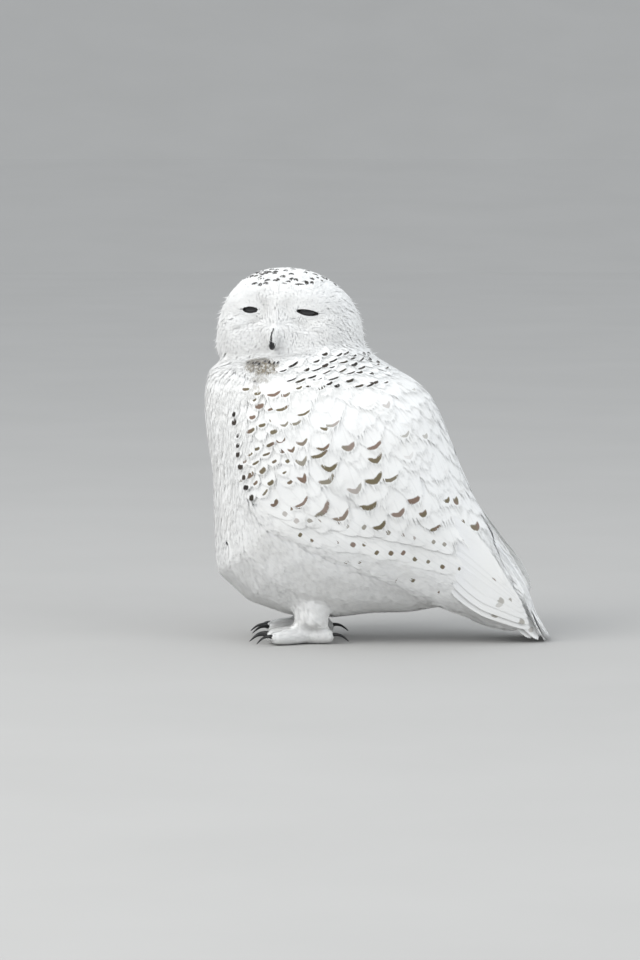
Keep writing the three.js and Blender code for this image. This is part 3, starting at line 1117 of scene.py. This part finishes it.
faceLook = {
    "long": 7.5, "wide": 2.4, "deep": 1.5, "lift": 0.2, "scatter": 7, "ragged": 0.2,
    "soft": 0.85, "layers": 0.35, "level": 0.25, "shallow": nearEyes,
}
headLook = {"long": 14, "wide": 5.5, "deep": 2.6, "lift": 0.5, "scatter": 8, "soft": 0.8, "ragged": 0.6}
breastLook = {
    "long": 21, "wide": 8.5, "deep": 1.7, "lift": 0.3, "scatter": 7, "soft": 0.95,
    "ragged": 0.7, "sway": 0.14, "layers": 0.4,
}
downLook = {"long": 24, "wide": 11, "deep": 2.2, "level": -1.1, "soft": 0.8, "ragged": 0.7}
rumpLook = {"long": 20, "wide": 8, "deep": 0.7, "lift": 0.3, "level": 0.4, "soft": 0.9, "ragged": 0.7}
tailDownLook = {
    "long": 7, "wide": 2.4, "deep": 0.4, "lift": 0.1, "level": -0.1, "scatter": 5,
    "soft": 0.9, "layers": 0.2,
}
footLook = {"long": 9, "wide": 3.0, "deep": 1.2, "lift": 0.4, "scatter": 9, "soft": 0.8, "layers": 0.4}


def onBristledFace(points):
    return onFace(points) & clearOfSlits(points)


def aroundFace(points):
    return isHead(points) & ~onFace(points)


def underWingRows(points):
    return isWing(points) & (tailShare(points) < 0.1)


growPlain("coatFace", bristleShape, 1.65, onBristledFace, 11, faceLook, headPlain, plainMottle)
growPlain("coatHead", tuftShape, 3.1, aroundFace, 21, headLook, headPlain, plainMottle)
growPlain("coatBody", tuftShape, 3.75, isBody, 31, breastLook, bodyPlain, plainMottle)
growPlain("coatWingDown", tuftShape, 5.5, underWingRows, 41, downLook, bodyPlain)
growPlain("coatWingTips", bristleShape, 1.9, isWingTip, 48, tailDownLook, bodyPlain)
growPlain("coatRump", tuftShape, 4.0, isRump, 45, rumpLook, bodyPlain)
growPlain("coatTailDown", bristleShape, 1.9, isTail, 51, tailDownLook, bodyPlain)
growPlain("coatFeet", bristleShape, 1.7, nearFeet, 61, footLook, bodyPlain)


# Short dense tufts on the eyelids, and the loose tips that stand out along the sides of the head

lidLook = {
    "long": 4.6, "wide": 1.9, "deep": 0.7, "lift": 0.1, "scatter": 12, "ragged": 0.2,
    "soft": 0.92, "layers": 0.2, "level": 0.3,
}
tipLook = {
    "long": 10, "wide": 3.2, "deep": 1.5, "lift": 3.6, "level": 0.2, "scatter": 14,
    "soft": 0.85, "ragged": 0.5,
}


def onLids(points):
    near = np.zeros(len(points), bool)
    for side in sides:
        across, up, forward = toEye(points, side).T
        near |= (np.hypot(across / 1.15, up) < 13) & (forward > 8)
    return near & clearOfSlits(points, 1.0)


def besideHead(points):
    across, forward, up = toHead(points).T
    return (np.abs(across) > 52) & (up > -8) & (up < 62) & (forward > -42) & (forward < 44)


def growTips():
    roots = scatter(5.5 * mm, besideHead, 23)
    ways = np.tile([0, -0.3, -1.0] @ headAxes, (len(roots), 1))
    growFeathers("coatTips", tuftShape, roots, ways, 24, tipLook, headPlain)


growPlain("coatLids", bristleShape, 1.25, onLids, 13, lidLook, headPlain)
growTips()


# Single dark bristles: the line down the middle of the bill, and ticks over the chin's mottle

def growDark(name, places, way, seed, look, unwrap):
    ways = np.tile(way, (len(places), 1))
    look = {"layers": 0.2, "soft": 0.8, "tone": np.full(len(places), 2.0), **look}
    growFeathers(name, bristleShape, places, ways, seed, look, (unwrap, headTufts))


def growBillLine():
    random = np.random.default_rng(151)
    count = 30
    out = rowsOf(random.uniform(-0.4, 0.4, count), 90, np.linspace(23, 5, count))
    hits = [formTree.ray_cast(Vector(p), Vector(-headForward))[0] for p in fromHead(out)]
    roots = np.array([hit for hit in hits if hit is not None])
    look = {"long": 5.5, "wide": 1.3, "deep": 0.2, "level": 0.75, "layers": 0.1, "scatter": 4}
    growDark("billLine", roots, [0, 0.1, -1.0] @ headAxes, 152, look, unwrapHead)


growBillLine()


# Marked feathers. Each kind says how its dark marks look: half its width and thickness in
# millimetres, how far it sits from the feather's tip, how much its arms bend towards the root,
# and its tone from -1 (unseen) through 0 (brown) to 1 (black).

def drawMarks(count, random, kind, chance):
    vary = kind.get("vary", 0.25)
    marks = {
        "size": np.array(kind["size"]) * random.uniform(1 - vary, 1 + vary, (count, 2)),
        "fromTip": kind["fromTip"] + random.uniform(-1, 1, count) * kind.get("shift", 1.0),
        "aside": random.uniform(-1, 1, count) * kind.get("aside", 1.0),
        "bend": kind["bend"] * random.uniform(0.6, 1.3, count),
        "tone": kind["tone"] + random.uniform(-1, 1, count) * kind.get("toneVary", 0.12),
        "shown": random.random(count) < chance,
    }
    marks["tone"][~marks["shown"]] = -1
    return marks


def keepApart(places, gap, random):
    # picks places in turn, none nearer to another than its own gap
    kept = np.zeros(len(places), bool)
    gap = np.broadcast_to(gap, len(places))
    for i in random.permutation(len(places)):
        if not kept.any() or np.linalg.norm(places[kept] - places[i], axis=1).min() > gap[i]:
            kept[i] = True
    return kept


def mergeMarks(where, marks, others):
    merged = {}
    for key, values in marks.items():
        chosen = where[:, None] if values.ndim > 1 else where
        merged[key] = np.where(chosen, values, others[key])
    return merged


def growMarked(name, shape, tips, ways, seed, look, marks, coat):
    # the roots lie back along the form from where the tips should come
    _, normals = ontoForm(tips)
    back = unit(ways - normals * dot(ways, normals))
    roots, _ = ontoForm(tips - back * (look["long"] * mm))
    growFeathers(name, shape, roots, back, seed, {**look, "vary": (0.97, 1.03)}, coat, marks)


markKinds = {
    "crown": {"size": (3.8, 2.2), "fromTip": 3.4, "bend": 0.5, "tone": 0.95, "vary": 0.5,
              "shift": 0.8, "aside": 1.4},
    "collar": {"size": (5.6, 1.7), "fromTip": 5.4, "bend": 0.5, "tone": 0.85, "vary": 0.4, "toneVary": 0.2},
    "wristEdge": {"size": (3.6, 3.3), "fromTip": 5.5, "bend": 0.0, "tone": 0.85, "aside": 0.3},
    "wrist": {"size": (4.6, 2.3), "fromTip": 7, "bend": 0.25, "tone": 0.1, "vary": 0.4, "toneVary": 0.25},
    "scapular": {"size": (8.6, 2.6), "fromTip": 11, "bend": 1.5, "tone": -0.12, "vary": 0.4,
                 "shift": 1.5, "toneVary": 0.28},
    "faint": {"size": (6.0, 2.2), "fromTip": 12, "bend": 1.2, "tone": -0.68, "vary": 0.3, "toneVary": 0.22},
    "quill": {"size": (4.2, 3.2), "fromTip": 28, "bend": 0.5, "tone": -0.5, "vary": 0.3,
              "shift": 20, "aside": 1.5},
    "dot": {"size": (2.6, 2.8), "fromTip": 14, "bend": 0.0, "tone": -0.4, "shift": 3.0, "aside": 3.0},
    "square": {"size": (5.0, 3.4), "fromTip": 16, "bend": 0.2, "tone": 0.0, "vary": 0.4,
               "shift": 4.0, "aside": 3.0},
    "bar": {"size": (6.8, 3.3), "fromTip": 12, "bend": 0.7, "tone": 0.0, "vary": 0.35,
            "shift": 3.0, "aside": 3.0},
}


# Small spotted feathers over the crown, thinning towards the nape

def onCrown(points):
    across, forward, up = toHead(points).T
    brow = 71 + 0.08 * np.abs(across)
    onTop = up > np.where(forward > 0, brow, 64 - 0.5 * forward)
    return onTop | (forward < -20) & (up > 38)


def growCrown():
    random = np.random.default_rng(71)
    tips = scatter(6.0 * mm, onCrown, 70)
    _, normals = ontoForm(tips)
    across, forward, _ = toHead(tips).T
    clumps = tips[random.choice(len(tips), len(tips) // 12, replace=False)]
    fromClump = np.linalg.norm(tips[:, None] - clumps[None], axis=-1).min(1) / mm
    chance = 0.4 + 0.6 * ramp(fromClump, 16, 8)
    chance = chance - 0.2 * ramp(forward, 10, -60) - 0.5 * ramp(np.abs(across), 32, 48) * (forward > 0)
    marks = drawMarks(len(tips), random, markKinds["crown"], chance)
    look = {"long": 13, "wide": 8, "deep": 2.0, "lift": 0.15, "level": 0.4, "layers": 0.3,
            "soft": 0.92, "ragged": 0.4, "scatter": 18}
    growMarked("crownFeathers", coverShape, tips, lie(tips, normals), 72, look, marks, headCovers)


# Barred feathers in rows round the shoulders, below the neck

collarRow = {
    "behind": (-8, 30, 70, 118), "top": (329, 336, 342, 334), "bottom": (296, 298, 302, 300),
    "from": -6, "to": 122, "out": 25 * mm,
}


def onCollar(points):
    behind, height = toSide(points)
    top = np.interp(behind, collarRow["behind"], collarRow["top"])
    bottom = np.interp(behind, collarRow["behind"], collarRow["bottom"])
    within = (height < top) & (height > bottom) & (behind > collarRow["from"]) & (behind < collarRow["to"])
    return within & (np.abs(points[:, 0]) > collarRow["out"])


def growCollar():
    random = np.random.default_rng(81)
    tips = scatter(8.8 * mm, onCollar, 80)
    behind, height = toSide(tips)
    marks = drawMarks(len(tips), random, markKinds["collar"], 0.9 - 0.4 * ramp(behind, 80, 120))
    marks["tone"] = marks["tone"] - 0.5 * ramp(height, 312, 300) * ramp(behind, 50, 10)
    look = {"long": 21, "wide": 17, "deep": 3.2, "lift": 0.3, "level": 0.8, "layers": 0.3,
            "soft": 0.75, "ragged": 0.5}
    ways = np.tile([0, 0.34, -0.94], (len(tips), 1))
    growMarked("collarFeathers", coverShape, tips, ways, 82, look, marks, bodyCovers)


# The wing's small coverts, in front of the crease between them and the scapulars

crease = {"height": (130, 150, 200, 250, 301), "behind": (60, 28, 12, -4, -18)}


def creaseAt(height):
    return np.interp(height, crease["height"], crease["behind"])


def onWrist(points):
    behind, height = toSide(points)
    low = edgeHeight(behind) + 30 - 12 * ramp(behind, -30, -60)
    return isWing(points) & (behind < creaseAt(height)) & (height > low) & (height < 296)


def growWrist(sign, side):
    random = np.random.default_rng(91 + sign)
    tips = scatter(12 * mm, lambda p: onWrist(p) & (p[:, 0] * sign > 0), 90 + sign)
    _, height = toSide(tips)
    marks = drawMarks(len(tips), random, markKinds["wrist"], 0.85 * ramp(height, 150, 185) + 0.1)
    slant = ramp(height, 290, 160)
    ways = rowsOf(0, 0.25 + 0.45 * slant, -0.95 + 0.2 * slant)
    look = {"long": 24, "wide": 19, "deep": 3.2, "lift": 0.3, "level": 0.3, "layers": 0.5,
            "soft": 0.75, "ragged": 0.6, "sway": 0.1}
    growMarked(f"smallCoverts_{side}", coverShape, tips, ways, 92, look, marks, bodyCovers)

    # black spots down the wing's front edge
    count = 9
    t = np.linspace(0, 1, count)
    behind = -63 + 21 * t**2.2 + random.uniform(-1.5, 1.5, count)
    edge = dropOnto(behind, 268 - 96 * t + random.uniform(-2, 2, count), sign)
    marks = drawMarks(count, random, markKinds["wristEdge"], 1.0)
    ways = np.tile([0, 0.2, -0.98], (count, 1))
    look = {**look, "long": 16, "wide": 15, "level": 0.9, "layers": 0.1}
    growMarked(f"wristEdge_{side}", coverShape, edge, ways, 94, look, marks, bodyCovers)


# Scapulars, from the crease over the back, many with a crescent near the tip

shoulder = {"behind": -5, "height": 300}


def alongScapulars(points):
    # how far from the shoulder along the feathers' own way, and how far over towards the back
    behind, height = toSide(points)
    way = wingWay["upper"]
    b, h = behind - shoulder["behind"], height - shoulder["height"]
    return b * way[0] + h * way[1], -b * way[1] + h * way[0]


def onScapulars(points):
    behind, height = toSide(points)
    above = height > edgeHeight(behind) + 46 + 34 * ramp(behind, 60, 190)
    return above & (behind > creaseAt(height)) & (height < 304) & (behind < 232)


def growScapulars(sign, side):
    random = np.random.default_rng(101 + sign)
    tips = scatter(13 * mm, lambda p: onScapulars(p) & (p[:, 0] * sign > -6 * mm), 100 + sign)
    _, normals = ontoForm(tips)
    far, over = alongScapulars(tips)
    count = len(tips)
    inside = over < 0.62 * far + 8  # strong marks on this side of a line, faint ones beyond it
    gap = (13.5 + 5 * ramp(far, 80, 120)) * mm
    strong = drawMarks(count, random, markKinds["scapular"], 0.97 * keepApart(tips, gap, random))
    strong["size"] = strong["size"] * (0.72 + 0.35 * ramp(far, 40, 110))[:, None]
    faint = drawMarks(count, random, markKinds["faint"], 0.2)
    low = (far > 172) & (over > 78)
    bars = drawMarks(count, random, markKinds["bar"], 0.95 * keepApart(tips, 16 * mm, random))
    marks = mergeMarks(low & inside, bars, mergeMarks(inside, strong, faint))
    level = 0.4 + 0.6 * marks["shown"][:, None]
    look = {"long": 52, "wide": 30, "deep": 2.6, "lift": 0.2, "level": level, "layers": 0.4,
            "soft": 0.93, "ragged": 0.8, "hug": True, "cup": 0.2, "shaft": 0.12, "sway": 0.14, "steps": 6}
    growMarked(f"scapulars_{side}", coverShape, tips, lie(tips, normals), 102, look, marks, bodyCovers)


# The rows along the wing's lower edge: great coverts, secondaries and, under them, primaries

wingRows = [
    {"name": "greatCoverts", "count": 13, "from": (4, 26), "to": (190, 74), "way": (0.80, -0.60),
     "long": 56, "wide": 27, "level": 0.2, "mark": "dot", "chance": 1.0, "darker": 0},
    {"name": "secondaries", "count": 14, "from": (22, 10), "to": (218, 54), "way": (0.80, -0.60),
     "long": 88, "wide": 30, "level": -0.9, "mark": "dot", "chance": 0.9, "darker": 0.35},
    {"name": "innerPrimaries", "count": 12, "from": (58, -1), "to": (236, 20), "way": (0.82, -0.57),
     "long": 100, "wide": 26, "level": -1.9, "mark": "square", "chance": 0.75, "darker": 0},
]


def growWingRow(row, sign, side):
    random = np.random.default_rng(111 + len(row["name"]) + sign)
    t = np.linspace(0, 1, row["count"])
    behind, above = (a + (b - a) * t for a, b in zip(row["from"], row["to"]))
    tips = dropOnto(behind, edgeHeight(behind) + above, sign)
    ways = np.tile([0, *row["way"]], (len(t), 1))
    marks = drawMarks(len(t), random, markKinds[row["mark"]], row["chance"])
    marks["tone"] += row["darker"] * marks["shown"]
    look = {"long": row["long"], "wide": row["wide"], "level": row["level"], "deep": 2.0, "layers": 0.4,
            "soft": 0.5, "hug": True, "cup": 0.6, "shaft": 0.35, "steps": 10, "scatter": 2, "taper": 0.2}
    growMarked(f"{row['name']}_{side}", quillShape, tips, ways, 112, look, marks, bodyQuills)


def wingTip(sign):
    low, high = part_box("wing_left" if sign > 0 else "wing_right")
    return (high[1] - headMiddle[1]) / mm, low[2] / mm


def growQuills(name, roots, tips, seed, look, facing, marks):
    # straight quills between their own roots and tips
    look = {"layers": 0.1, "soft": 0.4, "steps": 8, **look, "facing": facing,
            "lengths": np.linalg.norm(tips - roots, axis=1)}
    growFeathers(name, quillShape, roots, tips - roots, seed, look, bodyQuills, marks)


# Millimetres, from the lowest quill to the highest: how far the tips reach up, and draw back
primaries = {"count": 9, "long": 104, "wide": 25, "up": 54, "back": {"left": 24, "right": 34}}


def growPrimaries(sign, side):
    # straight quills fanned round the wing's blunt tip, the upper ones lying over the lower
    random = np.random.default_rng(131 + sign)
    count, long = primaries["count"], primaries["long"]
    t = np.linspace(0, 1, count)
    behind, height = wingTip(sign)
    tipBehind = behind + 3 - 6 * t - primaries["back"][side] * t**2
    tipHeight = height + 5 + primaries["up"] * t
    way = unit(rowsOf(0.88 - 0.26 * t, -0.47 - 0.3 * t))
    roots = dropOnto(tipBehind - way[:, 0] * long, tipHeight - way[:, 1] * long, sign)
    nose = dropOnto(tipBehind - 20, tipHeight + 9, sign)
    tips = rowsOf(nose[:, 0] - 7 * mm * sign, tipBehind * mm + headMiddle[1], tipHeight * mm)
    _, normals = ontoForm(np.concatenate([roots, nose, (roots + nose) / 2]))
    outwards = unit(normals.mean(0) + np.array([0.3 * sign, 0, 0]))
    tips = tips + outwards * (0.8 + 2.2 * t)[:, None] * mm
    roots = roots + outwards * (-2.2 + 0.8 * t)[:, None] * mm
    # each bends outwards enough to lie over the form half way along
    rise = np.array([riseOver(middle, outwards, 0.06) for middle in (roots + tips) / 2])
    bow = np.maximum(0, rise + (0.2 + 1.6 * t) * mm)
    marks = drawMarks(count, random, markKinds["quill"], 1.0)
    marks["aside"] += 5 * sign * (t < 1)
    marks["tone"] += 0.75 * ramp(t, 0.4, 0.85)
    look = {"long": long, "wide": primaries["wide"], "deep": 0.0, "level": 0.2, "ragged": 0.12,
            "round": 0.2, "cup": 1.0, "shaft": 0.5, "taper": 0.4, "bow": bow}
    growQuills(f"primaries_{side}", roots, tips, 132, look, np.tile(outwards, (count, 1)), marks)


# Tail feathers over the top of the tail, the middle ones lying highest

def growTail():
    random = np.random.default_rng(141)
    count, long, spread = tailFan["count"], tailFan["long"], tailFan["spread"]
    out = np.linspace(-1, 1, count)
    out = out[np.argsort(-np.abs(out), kind="stable")]
    low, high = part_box("tail")
    along, above = tailAxes()
    tips, roots = [], []
    for x in out:
        end = np.array([x * spread * mm, high[1], low[2] + 2 * mm]) - along * (7 * x**2 - 1) * mm
        root = end - along * long * mm - np.array([x * spread * 0.55 * mm, 0, 0])
        # level with the tail's surface, the tip's a little way back from the tail's rounded end
        tips.append(end + above * riseOver(end - along * 22 * mm, above))
        roots.append(root + above * riseOver(root, above))
    tips, roots = np.array(tips), np.array(roots)
    tips = tips + above * (0.3 + 0.7 * (1 - np.abs(out)))[:, None] * mm
    roots = roots - above * 2.5 * mm
    marks = drawMarks(count, random, markKinds["quill"], 0.8)
    marks["aside"] += 4 * np.sign(out)
    marks["tone"] += np.where(random.random(count) < 0.4, 0.6, 0) * marks["shown"]
    level = 0.8 + 2.2 * (1 - np.abs(out - 0.04))[:, None]
    look = {"long": long, "wide": tailFan["wide"], "level": level, "deep": 1.6, "hug": True,
            "free": 0.3, "cup": 0.4, "shaft": 0.2, "ragged": 0.15, "round": 0.12}
    growQuills("tailFeathers", roots, tips, 142, look, np.tile(above, (count, 1)), marks)


def growTailSides(sign, side):
    # two more quills a side, turned down along the tail's sides
    low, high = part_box("tail")
    along, above = tailAxes()
    long = 100
    tips, facing = [], []
    for drop, back, x, turn in ((14, 13, 39, 0.3), (8, 7, 38, 0.8)):
        end = np.array([x * sign * mm, high[1], low[2] + 2 * mm])
        tips.append(end - above * drop * mm - along * back * mm)
        facing.append(unit(above * turn + np.array([sign, 0, 0])))
    tips = np.array(tips)
    roots = tips - along * long * mm
    marks = drawMarks(len(tips), np.random.default_rng(145 + sign), markKinds["quill"], 1.0)
    look = {"long": long, "wide": tailFan["wide"], "deep": 0.0, "level": 0.0, "ragged": 0.15,
            "cup": 0.5, "shaft": 0.4, "taper": 0.2, "round": 0.2, "steps": 4}
    growQuills(f"tailSide_{side}", roots, tips, 146, look, np.array(facing), marks)


def growChinTicks():
    random = np.random.default_rng(161)
    places = np.array((-46, -41, -36.5, -33, -27, -22, -18, -12))
    behind = places + random.uniform(-1, 1, len(places))
    height = 332.8 + 2.2 * ramp(behind, -32, -24) + random.uniform(-1, 1, len(places))
    look = {"long": 6.5, "wide": 3.2, "deep": 0.3, "level": 1.3, "scatter": 12}
    growDark("chinTicks", dropOnto(behind, height, 1), [0, -0.1, -1.0], 162, look, unwrapBody)


growCrown()
growCollar()
growChinTicks()
for side, sign in sides.items():
    growWrist(sign, side)
    growScapulars(sign, side)
    for row in wingRows:
        growWingRow(row, sign, side)
    growPrimaries(sign, side)
    growTailSides(sign, side)
growTail()


# The skin: the form drawn in by the depth of the coat, with sockets, lids and painted marks

def coatDepth(points):
    _, height = toSide(points)
    _, forward, up = toHead(points).T
    depth = 7 - 2 * wingShare(points)
    depth = depth - 3.6 * ramp(forward, 5, 40) * ramp(up, -30, -10) * (height > 300)
    for side in sides:
        fromEye = np.linalg.norm(toEye(points, side), axis=1)
        depth = depth * (1 - 0.65 * ramp(fromEye, 34, 24))
    depth = depth - 5.4 * ramp(height, 34, 20)  # thin over the feet
    onTail = tailShare(points)
    return depth * (1 - onTail) + 0.9 * onTail


def ballInEye(side, segments, rings, radius, size=(1, 1, 1)):
    bpy.ops.mesh.primitive_uv_sphere_add(segments=segments, ring_count=rings, radius=radius)
    ball = bpy.context.object
    turn = Matrix(eyeAxes(side).T.tolist()).to_4x4()
    ball.data.transform(Matrix.Translation(eyeMiddle[side]) @ turn @ Matrix.Diagonal((*size, 1)))
    return ball


def makeLid(side, upper):
    # half a dome, cut off in a plane through the slit's corner and its widest place
    shape = lids[side]
    axes = eyeAxes(side)
    wide, high, deep = lids["dome"]
    lid = ballInEye(side, 56, 28, 1, np.array(lids["dome"]) * mm)
    sign = 1 if upper else -1
    reach = shape["upper"] if upper else shape["lower"]
    corner = np.array([0, 0, deep * math.sqrt(1 - (shape["half"] / wide) ** 2)])
    top = np.array([0, sign * reach, deep * math.sqrt(1 - (reach / high) ** 2)])
    rise = top - corner
    cut = unit(np.array([0, sign * rise[2], -sign * rise[1]]))
    place = eyeMiddle[side] + corner * mm @ axes
    toBack = {"plane_co": eyeMiddle[side] + axes[2] * 2 * mm, "plane_no": axes[2], "clear_inner": True}
    toSlit = {"plane_co": place, "plane_no": cut @ axes, "clear_inner": True}
    editMesh(lid, (bpy.ops.mesh.bisect, toBack), (bpy.ops.mesh.bisect, toSlit))
    applyModifier(lid, "SOLIDIFY", thickness=lids["thick"] * mm, offset=-1)
    edge = (vertexArray(lid) - place) @ (cut @ axes) / mm
    pastCorner = np.abs(toEye(vertexArray(lid), side)[:, 0]) - shape["half"]
    setAttribute(lid, "rim", edge + 2.5 * np.maximum(0, pastCorner))
    setAttribute(lid, "tone", np.zeros(len(edge)))
    return lid


def paintedTone(points):
    # the coat's own marks, on the skin below them
    tone = np.zeros(len(points))
    for x, y, z, radius, dark in np.concatenate(paintedMarks):
        away = np.linalg.norm(points - [x, y, z], axis=1)
        tone = np.maximum(tone, dark * ramp(away, radius + 6 * mm, radius))
    return tone


def makeSkin():
    skin = addObject("skin", form.data.copy())
    places = formPoints - formNormals * (coatDepth(formPoints) * mm)[:, None]
    setVertices(skin, places)
    applyModifier(skin, "SMOOTH", factor=0.5, iterations=3)
    places = coverBill(fitToLids(vertexArray(skin), -1.6), 1.0)
    rim = np.full(len(places), 20.0)
    for side in sides:
        local = toEye(places, side)
        across, up, forward = local.T
        hole = (insideSlit(across, up, side, 1.6) > 0) & (forward > 0)
        ball = eyeInHead["radius"] + 0.6
        under = -np.sqrt(np.maximum(0, ball**2 - across**2 - up**2))
        local[hole, 2] = under[hole]
        # the sunk skin is painted black: painted shade in the socket round the eyeball
        rim[hole] = 0
        places = local * mm @ eyeAxes(side) + eyeMiddle[side]
    setVertices(skin, places)
    setAttribute(skin, "rim", rim)
    setAttribute(skin, "tone", np.maximum(0.5 * plainMottle(places), paintedTone(places)))
    eyelids = [makeLid(side, upper) for side in sides for upper in (True, False)]
    joinInto(skin, eyelids)
    bpy.ops.object.shade_smooth()
    return dress(skin, skinMaterial, "feathers", *flesh)


skin = makeSkin()
print("skin", len(skin.data.vertices), "vertices")


# Eyes, bill and claws

def makeEye(side):
    eye = ballInEye(side, 48, 32, eyeInHead["radius"] * mm)
    eye.name = f"eyeball_{side}"
    across, up, forward = toEye(vertexArray(eye), side).T
    setAttribute(eye, "fromMiddle", np.where(forward > 0, np.hypot(across, up), 30))
    bpy.ops.object.shade_smooth()
    dress(eye, eyeMaterial, "eyes", f"eye_{side}")


def smoothHorn(node):
    horn = copyNodes(f"horn_{node}", [node])
    applyModifier(horn, "SUBSURF", levels=2, render_levels=2)
    bpy.ops.object.shade_smooth()
    dress(horn, hornMaterial, "horn", node)


for side in sides:
    makeEye(side)
for node in sorted(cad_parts):
    if node.startswith(("bill_", "claw_")):
        smoothHorn(node)
bpy.data.objects.remove(form)
print("eyes, bill and claws")


# Floor, light and camera

def makeFloor():
    bpy.ops.mesh.primitive_circle_add(vertices=96, radius=9, fill_type="NGON")
    floor = bpy.context.object
    floor.name = "floor"
    bpy.ops.object.mode_set(mode="EDIT")
    for out, up in ((1.3, 0.25), (1.25, 1.0), (1.15, 2.2)):  # rises gently all round, far outside the camera
        bpy.ops.mesh.select_mode(type="EDGE")
        bpy.ops.mesh.select_all(action="SELECT")
        bpy.ops.mesh.region_to_loop()
        bpy.ops.mesh.extrude_edges_move(TRANSFORM_OT_translate={"value": (0, 0, up)})
        bpy.ops.transform.resize(value=(out, out, 1), center_override=(0, 0, 0))
    bpy.ops.object.mode_set(mode="OBJECT")
    floor.data.materials.append(makeFloorMaterial())


studio = {
    "key": {"place": (2.3, -3.1, 3.2), "size": 3.0, "power": 136, "color": (1.0, 0.99, 0.97)},
    "fill": {"place": (3.0, 3.4, 2.2), "size": 3.5, "power": 72, "color": (0.95, 0.98, 1.0)},
    "world": {"color": (0.93, 0.965, 1.0), "strength": 0.93},
}


def makeLights():
    for name in ("key", "fill"):
        values = studio[name]
        lamp = bpy.data.lights.new(name, "AREA")
        lamp.size = values["size"]
        lamp.energy = values["power"]
        lamp.color = values["color"]
        light = addObject(name, lamp)
        light.location = values["place"]
        towards = Vector((0, 0, 0.2)) - light.location
        light.rotation_euler = towards.to_track_quat("-Z", "Y").to_euler()
    world = bpy.data.worlds.new("studio")
    world.use_nodes = True
    background = world.node_tree.nodes["Background"]
    background.inputs["Color"].default_value = (*studio["world"]["color"], 1)
    background.inputs["Strength"].default_value = studio["world"]["strength"]
    bpy.context.scene.world = world
    bpy.context.scene.view_settings.view_transform = "Standard"


# The camera looks along the bird's own -X, a little down on it, from far off.
view = {"target": (0, 0.0354, 0.189), "elevation": 5, "far": 6.3, "lens": 200}


def makeCamera():
    camera = addObject("camera", bpy.data.cameras.new("camera"))
    camera.data.lens = view["lens"]
    camera.data.sensor_width = 36
    target = Vector(view["target"]) + Vector((0, headMiddle[1], 0))
    elevation = math.radians(view["elevation"])
    back = Vector((math.cos(elevation), 0, math.sin(elevation)))
    camera.location = target + back * view["far"]
    camera.rotation_euler = back.to_track_quat("Z", "Y").to_euler()
    camera.data.clip_end = 200
    bpy.context.scene.camera = camera


makeFloor()
makeLights()
makeCamera()
print("stage set")
